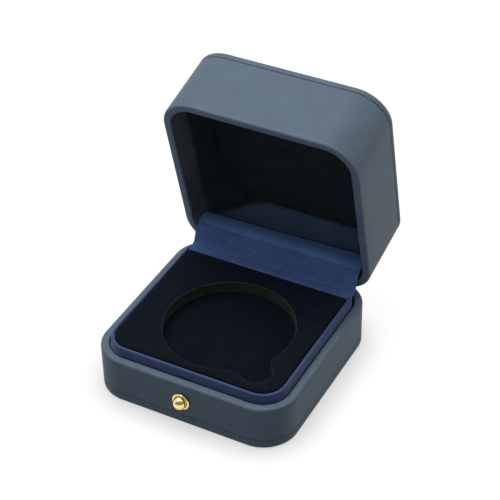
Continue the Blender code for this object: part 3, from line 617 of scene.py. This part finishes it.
DARK_STEEL = metal("blackened_steel", (0.055, 0.056, 0.062), 0.40, 0.12)


def dress(piece, body, slot, material, *replaced):
    piece.data.materials.clear()
    piece.data.materials.append(material)
    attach(piece, body)
    for name in replaced:
        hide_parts(name)
    return piece


# Leatherette shell
HOLE_R, HOLE_STEPS = 0.0033, 48
ARRIS = 0.0003
PLATE_EDGE = 0.0010
PLATE_FOOT_INSET = 0.0011
PANEL_FOOT_INSET = 0.0004
PANEL_EDGE = 0.0012
WINDOW = ((-0.0038, -0.0374, 0.0), (0.0038, -0.0367, 0.0221))

base_skin = band("base_wrap", skin_section(WALL_FOOT, RIM_Z, FLANGE_FOOT, False))
carve(base_skin, *rear_cutters(False), bore(-HALF - CUT_OVER, -HALF + WALL, HOLE_R, HOLE_STEPS))
dress(smooth(base_skin), "base", "leatherette", LEATHER, "base_cover")

base_plate = slab("base_plate_wrap", [(PLATE_FOOT_INSET, 0.0)]
                  + arc(PLATE_EDGE, PLATE_EDGE, PLATE_EDGE, -90, 0, 6)
                  + arc(ARRIS, PLATE_TOP - ARRIS, ARRIS, 0, 90, 3))
dress(smooth(base_plate), "base", "leatherette", LEATHER, "base_bottom_plate")

lid_skin = band("lid_wrap", skin_section(LID_SEAM, LID_RIM, LID_FLANGE, True))
carve(lid_skin, *rear_cutters(True), block("window", *WINDOW))
dress(smooth(swing_open(lid_skin)), "lid", "leatherette", LID_LEATHER, "lid_cover")

lid_panel = slab("lid_panel_wrap", [(PANEL_FOOT_INSET, PANEL_FOOT)]
                 + arc(ARRIS, PANEL_FOOT + ARRIS, ARRIS, -90, 0, 3)
                 + arc(PANEL_EDGE, LID_TOP - PANEL_EDGE, PANEL_EDGE, 0, 90, 7))
dress(smooth(swing_open(lid_panel)), "lid", "leatherette", LEATHER, "lid_top_panel")


# Collar
COLLAR_ROUND = (COLLAR_IN - COLLAR_OUT) / 2
COLLAR_MIDDLE = 0.012
COLLAR_UNDER_RIM, COLLAR_OVER_RIM = 0.0003, 0.0001
COLLAR_HOLE_R, COLLAR_HOLE_STEPS = 0.0017, 32
COLLAR_HOLE_FRONT, COLLAR_HOLE_BACK = -0.0368, -0.0340
COLLAR_ARM_HALF, COLLAR_ARM_END = 0.03535, 0.0292
LATCH_SLOT = ((-0.00154, -0.0368, 0.01986), (0.00154, -0.0345, 0.02064))
COLLAR_FILL, COLLAR_FILLED = 0.0005, (2, 3)     # how far, and which points of the section
COLLAR_THIN, THIN_SIDE, THIN_SIDE_OVER, THIN_FRONT, THIN_FRONT_OVER = 0.0006, 0.024, 0.010, 0.032, 0.012
COLLAR_SECTION = [(COLLAR_IN, COLLAR_FOOT), (COLLAR_OUT, COLLAR_FOOT), (COLLAR_OUT, COLLAR_MIDDLE),
                  (COLLAR_OUT, RIM_Z - COLLAR_UNDER_RIM), (COLLAR_OUT, RIM_Z + COLLAR_OVER_RIM)]
COLLAR_SECTION += arc(COLLAR_OUT + COLLAR_ROUND, COLLAR_TOP - COLLAR_ROUND, COLLAR_ROUND, 0, 180, 12)
COLLAR_SECTION.append((COLLAR_IN, COLLAR_MIDDLE))
COLLAR_POINTS = 4 * (CORNER_STEPS + 1)

collar = band("collar_cloth", COLLAR_SECTION)
for k, vertex in enumerate(collar.data.vertices):
    loop = k // COLLAR_POINTS
    # below the rim the front left corner stands closer to the wall
    corner = vertex.co.xy + Vector((HALF - CORNER, HALF - CORNER))
    if loop in COLLAR_FILLED and corner.x < 0.0 and corner.y < 0.0:
        corner.normalize()
        vertex.co.xy += corner * (COLLAR_FILL * 2 * corner.x * corner.y)
    # the left side shows thinner than the others
    outer = (COLLAR_IN - COLLAR_SECTION[loop][0]) / (COLLAR_IN - COLLAR_OUT)
    left = share((-vertex.co.x - THIN_SIDE) / THIN_SIDE_OVER)
    vertex.co.x += COLLAR_THIN * outer * left * share((vertex.co.y + THIN_FRONT) / THIN_FRONT_OVER)
carve(collar, block("rear", (-COLLAR_ARM_HALF, COLLAR_END, 0.0), (COLLAR_ARM_HALF, FAR, FAR)),
      block("far_rear", (-FAR, COLLAR_ARM_END, 0.0), (FAR, FAR, FAR)),
      bore(COLLAR_HOLE_FRONT, COLLAR_HOLE_BACK, COLLAR_HOLE_R, COLLAR_HOLE_STEPS),
      block("slot", *LATCH_SLOT))
dress(smooth(collar), "base", "suede", SUEDE, "base_collar")


# Pad, with a recess and a finger notch cut through velvet and foam
RECESS_STEPS, NOTCH_STEPS = 160, 24
FLANK_STEP = 0.00002


def recess_outline():
    """The round recess, open at its mouth into a notch with straight flanks and a round end."""
    mouth = RECESS + RECESS_R * Vector((math.cos(NOTCH_MOUTH), math.sin(NOTCH_MOUTH)))
    way = Vector((math.cos(NOTCH_WAY), math.sin(NOTCH_WAY)))
    side = Vector((-way.y, way.x))
    end = mouth + way * NOTCH_LONG
    # the flanks run back to where they meet the circle
    flanks = []
    for sign in (-1, 1):
        foot = end + side * NOTCH_HALF * sign
        back = 0.0
        while (foot - way * back - RECESS).length > RECESS_R and back < NOTCH_HALF * 2:
            back += FLANK_STEP
        flanks.append(foot - way * back)
    a0 = math.atan2(flanks[1].y - RECESS.y, flanks[1].x - RECESS.x)
    a1 = math.atan2(flanks[0].y - RECESS.y, flanks[0].x - RECESS.x) + math.tau
    points = []
    for i in range(RECESS_STEPS + 1):
        a = a0 + (a1 - a0) * i / RECESS_STEPS
        points.append(tuple(RECESS + RECESS_R * Vector((math.cos(a), math.sin(a)))))
    for i in range(NOTCH_STEPS + 1):
        a = -math.pi / 2 + math.pi * i / NOTCH_STEPS
        points.append(tuple(end + way * NOTCH_HALF * math.cos(a) + side * NOTCH_HALF * math.sin(a)))
    return points


RECESS_LINE = recess_outline()
RECESS_CUT_FOOT, RECESS_CUT_TOP = 0.010, 0.030
LEVEL_NEAR, LINE_NEAR = 0.00002, 0.00003
CUT_EDGE_DEEP, CUT_EDGE_CLEAR, CUT_EDGE_WIDE = 0.0007, 0.000005, 0.0008
UPRIGHT = 0.995


def recess_cutter():
    return prism_z("recess", RECESS_LINE, RECESS_CUT_FOOT, RECESS_CUT_TOP)


def round_lip(piece, height, radius):
    """Rounds the lip of the recess, and gives it and the cut below it the second material."""
    bm = bmesh.new()
    bm.from_mesh(piece.data)
    line = [Vector(p) for p in RECESS_LINE]

    def from_line(point):
        return min((point.xy - q).length for q in line)

    marked = {v for v in bm.verts if abs(v.co.z - height) < LEVEL_NEAR and from_line(v.co) < LINE_NEAR}
    edges = [e for e in bm.edges if e.verts[0] in marked and e.verts[1] in marked and len(e.link_faces) == 2
             and abs(e.link_faces[0].normal.z - e.link_faces[1].normal.z) > 0.5]
    bmesh.ops.bevel(bm, geom=edges, offset=radius, offset_type="OFFSET", segments=4, profile=0.5,
                    affect="EDGES")
    for face in bm.faces:
        middle = face.calc_center_median()
        if height - CUT_EDGE_DEEP < middle.z < height - CUT_EDGE_CLEAR and abs(face.normal.z) < UPRIGHT:
            if from_line(middle) < CUT_EDGE_WIDE:
                face.material_index = 1
    bm.to_mesh(piece.data)
    bm.free()
    return piece


def behind(y):
    return block("behind", (-FAR, y, 0.0), (FAR, FAR, FAR))


POCKET = ((-0.0034, -HALF, 0.0), (0.0034, -0.0325, 0.0215))
FOAM_POCKET = (POCKET[0], (0.0034, -0.0325, 0.030))
PAD_MIDDLE = 0.020
PAD_EDGE = 0.0008
PAD_LIP = 0.00024
CORE_FOOT = 0.010
FOAM_INSET = 0.0065

pad = slab("pad_velvet", [(PAD_INSET, PAD_FOOT), (PAD_INSET, PAD_MIDDLE)]
           + arc(PAD_INSET + PAD_EDGE, PAD_TOP - PAD_EDGE, PAD_EDGE, 0, 90, 6))
carve(pad, behind(PAD_BACK))
core = slab("core", [(PAD_INSET + VELVET, CORE_FOOT), (PAD_INSET + VELVET, PAD_TOP - VELVET)])
carve(core, behind(PAD_BACK - VELVET))
carve(pad, core, recess_cutter(), block("pocket", *POCKET))
pad.data.materials.append(VELVET_LOOK)
pad.data.materials.append(CUT_EDGE)
round_lip(pad, PAD_TOP, PAD_LIP)
smooth(pad, 50.0)
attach(pad, "base")
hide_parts("pad_velvet_cover")

foam = slab("pad_foam", [(FOAM_INSET, PAD_FOOT), (FOAM_INSET, PAD_TOP - VELVET - GAP)])
carve(foam, behind(PAD_BACK - VELVET - GAP), recess_cutter(), block("pocket", *FOAM_POCKET))
dress(smooth(foam), "base", "foam", FOAM, "pad_foam_layer")

floor_cloth = slab("recess_floor_velvet", [(BOARD_INSET, BOARD_FOOT), (BOARD_INSET, RECESS_FLOOR)])
carve(floor_cloth, behind(PAD_BACK), block("pocket", *POCKET))
dress(floor_cloth, "base", "velvet", FLOOR_VELVET, "recess_floor_board")


# Hinge cover strip: a smooth curve through the points of its visible face, measured from the hinge
STRIP = 0.0006
STRIP_FACE = [(-0.01110, -0.0006), (-0.01110, 0.0011), (-0.01110, 0.0021), (-0.01075, 0.00255),
              (-0.01010, 0.00265), (-0.00870, 0.00235), (-0.00700, 0.00195), (-0.00620, 0.00200),
              (-0.00560, 0.00245), (-0.00490, 0.00370), (-0.00400, 0.00600), (-0.00305, 0.00795),
              (-0.00210, 0.00910), (-0.00100, 0.00980)]
STRIP_LID = [(-0.0100, 0.0017), (-0.0100, 0.0028), (-0.0100, 0.0050), (-0.0100, 0.0072)]
CURVE_STEPS = 4
STRIP_COLUMNS = 110
STRIP_HALF, STRIP_FRONT_HALF = 0.0352, 0.0344
STRIP_FRONT_END, STRIP_FRONT_TOP = 0.0281, 0.0240
WAVE_START, WAVE_ENDS = 8, 20
# each wave's height, pitch, start and drift along the strip
WAVES = ((0.00010, 210.0, 1.3, 0.0), (0.00007, 470.0, 0.0, 0.11))
# the top edge runs up towards the right: its rise at the middle, and per metre of width
TOP_RISE, TOP_SKEW = 0.00045, 0.0303
TOP_START = CURVE_STEPS * len(STRIP_FACE)


def strip_line():
    c, s = math.cos(OPEN), math.sin(OPEN)
    points = [Vector((PIVOT.y + b, PIVOT.z + u)) for b, u in STRIP_FACE]
    points += [Vector((PIVOT.y + b * c + u * s, PIVOT.z - b * s + u * c)) for b, u in STRIP_LID]
    line = []
    for k in range(len(points) - 1):
        p0, p1 = points[max(k - 1, 0)], points[k]
        p2, p3 = points[k + 1], points[min(k + 2, len(points) - 1)]
        for i in range(CURVE_STEPS):
            t = i / CURVE_STEPS
            line.append(0.5 * ((2 * p1) + (p2 - p0) * t + (2 * p0 - 5 * p1 + 4 * p2 - p3) * t * t
                               + (3 * p1 - p0 - 3 * p2 + p3) * t ** 3))
    line.append(points[-1])
    return line


STRIP_LINE = strip_line()


def strip_row(bm, k, layer):
    """One row of points across the strip, on its face or, for layer 1, under it."""
    p, last = STRIP_LINE[k], len(STRIP_LINE) - 1
    way = (STRIP_LINE[min(k + 1, last)] - STRIP_LINE[max(k - 1, 0)]).normalized()
    out = Vector((-way.y, way.x))
    lid_way = Vector((math.sin(OPEN), math.cos(OPEN)))
    climb = max(k - TOP_START, 0) / (last - TOP_START)
    half = STRIP_FRONT_HALF if p.x < STRIP_FRONT_END and p.y < STRIP_FRONT_TOP else STRIP_HALF
    # slow waves of cloth that is glued only along its edges
    free = math.sin(math.pi * share((k - WAVE_START) / (last + 1 - WAVE_ENDS)))
    row = []
    for i in range(STRIP_COLUMNS + 1):
        x = half * (2 * i / STRIP_COLUMNS - 1)
        wave = free * sum(high * math.sin(x * pitch + begin + k * drift)
                          for high, pitch, begin, drift in WAVES)
        q = p + out * (wave - STRIP * layer) + lid_way * climb * (TOP_RISE + TOP_SKEW * x)
        row.append(bm.verts.new((x, q.x, q.y)))
    return row


def build_strip():
    bm = bmesh.new()
    count = len(STRIP_LINE)
    face, back = ([strip_row(bm, k, layer) for k in range(count)] for layer in (0, 1))
    for rows in (face, back):
        for r0, r1 in zip(rows, rows[1:]):
            for i in range(STRIP_COLUMNS):
                bm.faces.new((r0[i], r0[i + 1], r1[i + 1], r1[i]))
    for k in range(count - 1):
        for i in (0, STRIP_COLUMNS):
            bm.faces.new((face[k][i], face[k + 1][i], back[k + 1][i], back[k][i]))
    for k in (0, count - 1):
        for i in range(STRIP_COLUMNS):
            bm.faces.new((face[k][i], face[k][i + 1], back[k][i + 1], back[k][i]))
    # the cut end and the face's top band take the dark second material; on the face it is a painted shadow
    # line
    dark_end_rows = {v for rows in (face, back) for row in rows[-2:] for v in row}
    for polygon in bm.faces:
        if all(v in dark_end_rows for v in polygon.verts):
            polygon.material_index = 1
    return smooth(new_piece("hinge_strip_cloth", bm), 60.0)


strip = build_strip()
strip.data.materials.append(STRIP_SUEDE)
strip.data.materials.append(STRIP_SHADOWED_EDGE)
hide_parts("hinge_cover_strip")
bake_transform(strip)


# Lid linings
LINING_OUT = 0.0028
LINING_FOOT, REAR_LINING_FOOT, LINING_TOP = 0.0203, 0.0213, 0.0459
LINING_CUT, REAR_LINING_HALF = 0.02726, 0.02722
CEILING_INSET, CEILING_FACE, CEILING_EDGE, CEILING_CROWN = 0.0036, 0.0449, 0.0005, -0.0002


def lining_section(foot):
    return [(LINING_OUT, foot), (LINING_OUT, LINING_TOP), (WALL, LINING_TOP), (WALL, foot)]


wall_lining = band("lid_wall_velvet", lining_section(LINING_FOOT))
carve(wall_lining, block("window", *WINDOW), block("rear", (-LINING_CUT, 0.0, 0.0), (LINING_CUT, FAR, FAR)))
dress(smooth(swing_open(wall_lining)), "lid", "velvet", LINING, "lid_wall_lining")

rear_lining = band("lid_rear_suede", lining_section(REAR_LINING_FOOT))
carve(rear_lining, block("middle", (-REAR_LINING_HALF, 0.0, 0.0), (REAR_LINING_HALF, FAR, FAR)),
      operation="INTERSECT")
dress(smooth(swing_open(rear_lining)), "lid", "suede", LINING, "lid_rear_lining")

ceiling_edge = [(CEILING_INSET + (1 - math.cos(a)) * CEILING_EDGE,
                 CEILING_FACE + (1 - math.sin(a)) * CEILING_EDGE)
                for a in (math.pi / 2 * i / 5 for i in range(6))]
ceiling = slab("lid_ceiling_velvet", [(CEILING_INSET, LID_SEAM)] + ceiling_edge, CEILING_CROWN, 8)
dress(smooth(swing_open(ceiling), 50.0), "lid", "velvet", CEILING_VELVET, "lid_ceiling_pad")


# Push button
BALL_R, BALL_Y = 0.00262, -0.04135
BALL_END, BALL_STEPS = 2.10, 28     # the ball's outline turns this far from its front, in radians
NECK_R, NECK_END = 0.0012, -0.0347
STEM_R, STEM_END = 0.0008, -0.0320
ball_line = [(BALL_Y + BALL_R * math.cos(math.pi - a), BALL_R * math.sin(a))
             for a in (BALL_END * i / BALL_STEPS for i in range(BALL_STEPS + 1))]
ball_line[0] = (BALL_Y - BALL_R, 0.0)
ball_line += [(-HALF, NECK_R), (NECK_END, NECK_R), (NECK_END, STEM_R), (STEM_END, STEM_R), (STEM_END, 0.0)]
dress(smooth(turned("button_ball", ball_line)), "button", "gold", GOLD, "push_button")

BEZEL_FRONT, BEZEL_BACK = -0.0411, -0.0403
LIP_OUT_R, LIP_OUT_ROUND = 0.00315, 0.00035
LIP_IN_R, LIP_IN_ROUND = 0.00295, 0.0002
CUP_R, TUBE_BORE, TUBE_R, CUP_OUT = 0.00275, 0.00125, 0.0018, 0.0031
CUP_FLOOR, TUBE_END, CUP_BACK = -0.0389, -0.0364, -0.0383
bezel_line = [(BEZEL_BACK, LIP_OUT_R + LIP_OUT_ROUND)]
bezel_line += [(BEZEL_FRONT + LIP_OUT_ROUND * (1 - math.cos(a)), LIP_OUT_R + LIP_OUT_ROUND * math.sin(a))
               for a in (math.pi / 2 * (1 - i / 6) for i in range(7))]
bezel_line += [(BEZEL_FRONT + LIP_IN_ROUND * (1 - math.sin(a)), LIP_IN_R - LIP_IN_ROUND * math.cos(a))
               for a in (math.pi / 2 * (1 - i / 4) for i in range(5))]
bezel_line += [(CUP_FLOOR, CUP_R), (CUP_FLOOR, TUBE_BORE), (TUBE_END, TUBE_BORE), (TUBE_END, TUBE_R),
               (CUP_BACK, TUBE_R), (CUP_BACK, CUP_OUT), (BEZEL_BACK, CUP_OUT)]
dress(smooth(turned("button_bezel_ring", bezel_line, closed=True)), "base", "gold", GOLD, "button_bezel")


# Return spring, drawn at one length, though the real one shortens as the button goes in
COIL_R, COIL_WIRE, COIL_TURNS, COIL_STEPS, COIL_SIDES = 0.0014, 0.0002, 5, 24, 8


def build_coil():
    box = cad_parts["button_return_spring"].bound_box
    front, back = min(c[1] for c in box) + COIL_WIRE, max(c[1] for c in box) - COIL_WIRE
    count = COIL_TURNS * COIL_STEPS
    bm = bmesh.new()
    rings = []
    for i in range(count + 1):
        a = math.tau * i / COIL_STEPS
        out = Vector((math.cos(a), 0.0, math.sin(a)))
        middle = Vector((0.0, front + (back - front) * i / count, BUTTON_Z)) + out * COIL_R
        rings.append([bm.verts.new(middle + COIL_WIRE * (out * math.cos(b) + Vector((0.0, math.sin(b), 0.0))))
                      for b in (math.tau * k / COIL_SIDES for k in range(COIL_SIDES))])
    join_loops(bm, zip(rings, rings[1:]))
    bm.faces.new(rings[0])
    bm.faces.new(rings[-1])
    coil = smooth(new_piece("return_spring_coil", bm), 50.0)
    coil.data.materials.append(STEEL)
    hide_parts("button_return_spring")
    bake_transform(coil)


build_coil()


# Carried-over pieces
NOSE_CLOTH_FROM, NOSE_CLOTH_TO = -0.0352, -0.0356


def latch_look():
    """Blackened steel, with the collar's cloth over the nose that fills the slot."""
    material, tree, shader, place = start_material("latch_steel")
    marks = place_group(tree, MARKS, place).outputs["Marks"]
    steel = ramp(tree, marks, ((0.35, (0.045, 0.046, 0.052)), (0.65, (0.060, 0.061, 0.068))))
    nose = rise(tree, place, "Y", NOSE_CLOTH_FROM, NOSE_CLOTH_TO)
    tree.links.new(mix_colour(tree, nose, steel, (0.048, 0.071, 0.165, 1.0)), shader.inputs["Base Color"])
    tree.links.new(math_node(tree, "SUBTRACT", 1.0, nose), shader.inputs["Metallic"])
    shader.inputs["Roughness"].default_value = 0.6
    bump(tree, shader, marks, 0.2, 0.00003)
    return material


RIVETS = [f"{leaf}_hinge_rivet_{k}" for leaf in ("base", "lid") for k in (1, 2)]
CARRIED = (
    (BOARD, ("base_frame", "lid_frame", "base_hinge_ledge", "lid_hinge_board")),
    (FOAM, ("insert_support_block",)),
    (STEEL, ("base_hinge_leaf", "lid_hinge_leaf", "hinge_pin", "bezel_retainer", "latch_clip", *RIVETS)),
    (DARK_STEEL, ("lid_keeper_plate", "latch_bracket")),
    (latch_look(), ("latch_plate",)),
)
for material, names in CARRIED:
    for name in names:
        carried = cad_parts[name]
        carried.data.materials.clear()
        carried.data.materials.append(material)


# Floor, light and camera
WHITE = (1.0, 1.0, 1.0)
FLOOR_HALF, FLOOR_Z = 3.0, -0.00005
FLOOR_PALE, FLOOR_LOW = (0.14, 0.14, 0.14, 1.0), (0.09, 0.09, 0.09, 1.0)
CONTACT_REACH, CONTACT_OPEN, CONTACT_GLOW = 0.016, (0.42, 0.92), (0.59, 0.94)


def mix_shader(tree, fac, first, second):
    """The first shader, or the second where the factor is 1."""
    return node(tree, "ShaderNodeMixShader", ((0, fac), (1, first.outputs[0]), (2, second.outputs[0])))


def stage_floor():
    """Pale floor, seen as nearly white with a soft contact shadow that is partly real and partly painted into
    its glow, and that lights the case only a little.
    """
    bm = bmesh.new()
    bm.faces.new([bm.verts.new((x * FLOOR_HALF, y * FLOOR_HALF, FLOOR_Z))
                  for x, y in ((-1, -1), (1, -1), (1, 1), (-1, 1))])
    floor = new_piece("floor", bm)
    material = bpy.data.materials.new("pale_floor")
    material.use_nodes = True
    tree = material.node_tree
    tree.nodes.remove(tree.nodes["Principled BSDF"])
    path = node(tree, "ShaderNodeLightPath")
    seen = math_node(tree, "MAXIMUM", path.outputs["Is Camera Ray"], path.outputs["Is Glossy Ray"])
    seen = math_node(tree, "MAXIMUM", seen, path.outputs["Is Transmission Ray"])
    pale = node(tree, "ShaderNodeBsdfDiffuse", (("Color", FLOOR_PALE),))
    low = node(tree, "ShaderNodeBsdfDiffuse", (("Color", FLOOR_LOW),))
    # painted shadow: the floor's glow dims where the case stands near, deepening its real contact shadow
    near = node(tree, "ShaderNodeAmbientOcclusion", (("Distance", CONTACT_REACH),), samples=8)
    level = map_range(tree, near.outputs["AO"], *CONTACT_OPEN, *CONTACT_GLOW)
    glow = node(tree, "ShaderNodeEmission", (("Color", (*WHITE, 1.0)), ("Strength", level)))
    lit = node(tree, "ShaderNodeAddShader", ((0, pale.outputs[0]), (1, glow.outputs[0])))
    mix = mix_shader(tree, seen, low, lit)
    tree.links.new(mix.outputs[0], tree.nodes["Material Output"].inputs["Surface"])
    floor.data.materials.append(material)


def soft_lamp(name, place, aim, side, watts, colour=WHITE, mirrored=True):
    """A square lamp that the camera doesn't see."""
    lamp = bpy.data.lights.new(name, "AREA")
    lamp.shape = "SQUARE"
    lamp.size = side
    lamp.energy = watts
    lamp.color = colour
    holder = bpy.data.objects.new(name, lamp)
    holder.location = place
    holder.rotation_euler = (Vector(aim) - Vector(place)).to_track_quat("-Z", "Y").to_euler()
    holder.visible_camera = False
    holder.visible_glossy = mirrored
    bpy.context.scene.collection.objects.link(holder)


SKY_TINT, SKY_STRENGTH = (0.90, 0.95, 1.0, 1.0), 0.29
MIRROR_WAY, MIRROR_EDGE, MIRROR_DIM = (-0.42, 0.78, 0.46), 0.08, (0.30, 0.25, 0.12)


def world_light():
    """Dim bluish light all round, seen as white by the camera."""
    world = bpy.data.worlds.new("studio")
    bpy.context.scene.world = world
    world.use_nodes = True
    tree = world.node_tree
    path = node(tree, "ShaderNodeLightPath")
    seen = math_node(tree, "MAXIMUM", path.outputs["Is Camera Ray"], path.outputs["Is Transmission Ray"])
    dim = tree.nodes["Background"]
    dim.inputs["Color"].default_value = SKY_TINT
    dim.inputs["Strength"].default_value = SKY_STRENGTH
    white = node(tree, "ShaderNodeBackground", (("Color", (*WHITE, 1.0)), ("Strength", 1.0)))
    # mirrored in the gold the studio is bright overhead and dim at the height of the camera
    heading = along(tree, node(tree, "ShaderNodeTexCoord").outputs["Generated"], MIRROR_WAY)
    bright = map_range(tree, heading, -MIRROR_EDGE, MIRROR_EDGE)
    colour = ramp(tree, bright, ((0.0, MIRROR_DIM), (1.0, WHITE)))
    mirrored = node(tree, "ShaderNodeBackground", (("Color", colour), ("Strength", 1.0)))
    rest = mix_shader(tree, path.outputs["Is Glossy Ray"], dim, mirrored)
    mix = mix_shader(tree, seen, rest, white)
    tree.links.new(mix.outputs[0], tree.nodes["World Output"].inputs["Surface"])


CAMERA_AZIMUTH, CAMERA_RISE, CAMERA_ROLL = (math.radians(a) for a in (28.515, 38.004, -1.189))
CAMERA_TARGET = Vector((-0.037972, 0.084106, -0.019637))
CAMERA_AWAY = 0.699306
CAMERA_LENS, CAMERA_SENSOR, CAMERA_NEAR = 115.267, 36.0, 0.01


def camera():
    """Front right, 38 degrees up, with a long lens."""
    level = math.cos(CAMERA_RISE)
    back = Vector((math.sin(CAMERA_AZIMUTH) * level, -math.cos(CAMERA_AZIMUTH) * level,
                   math.sin(CAMERA_RISE)))
    right = Vector((0.0, 0.0, 1.0)).cross(back).normalized()
    up = back.cross(right)
    across = right * math.cos(CAMERA_ROLL) + up * math.sin(CAMERA_ROLL)
    upright = up * math.cos(CAMERA_ROLL) - right * math.sin(CAMERA_ROLL)
    data = bpy.data.cameras.new("camera")
    data.sensor_width = CAMERA_SENSOR
    data.lens = CAMERA_LENS
    data.clip_start = CAMERA_NEAR
    view = bpy.data.objects.new("camera", data)
    turn = Matrix((across, upright, back)).transposed().to_4x4()
    view.matrix_world = Matrix.Translation(CAMERA_TARGET + back * CAMERA_AWAY) @ turn
    bpy.context.scene.collection.objects.link(view)
    bpy.context.scene.camera = view


stage_floor()
world_light()
soft_lamp("top_light", place=(-0.25, 0.10, 0.85), aim=(0.0, 0.0, 0.0), side=0.65, watts=5.0)
soft_lamp("side_light", place=(0.17, 0.12, 0.11), aim=(0.04, 0.06, 0.06), side=0.10, watts=0.056,
          colour=(1.0, 0.96, 0.78))
soft_lamp("fill_light", place=(0.14, -0.62, 0.22), aim=(0.0, 0.03, 0.04), side=0.35, watts=0.17,
          colour=(1.0, 0.98, 0.96), mirrored=False)
camera()
bpy.context.scene.view_settings.view_transform = "Standard"
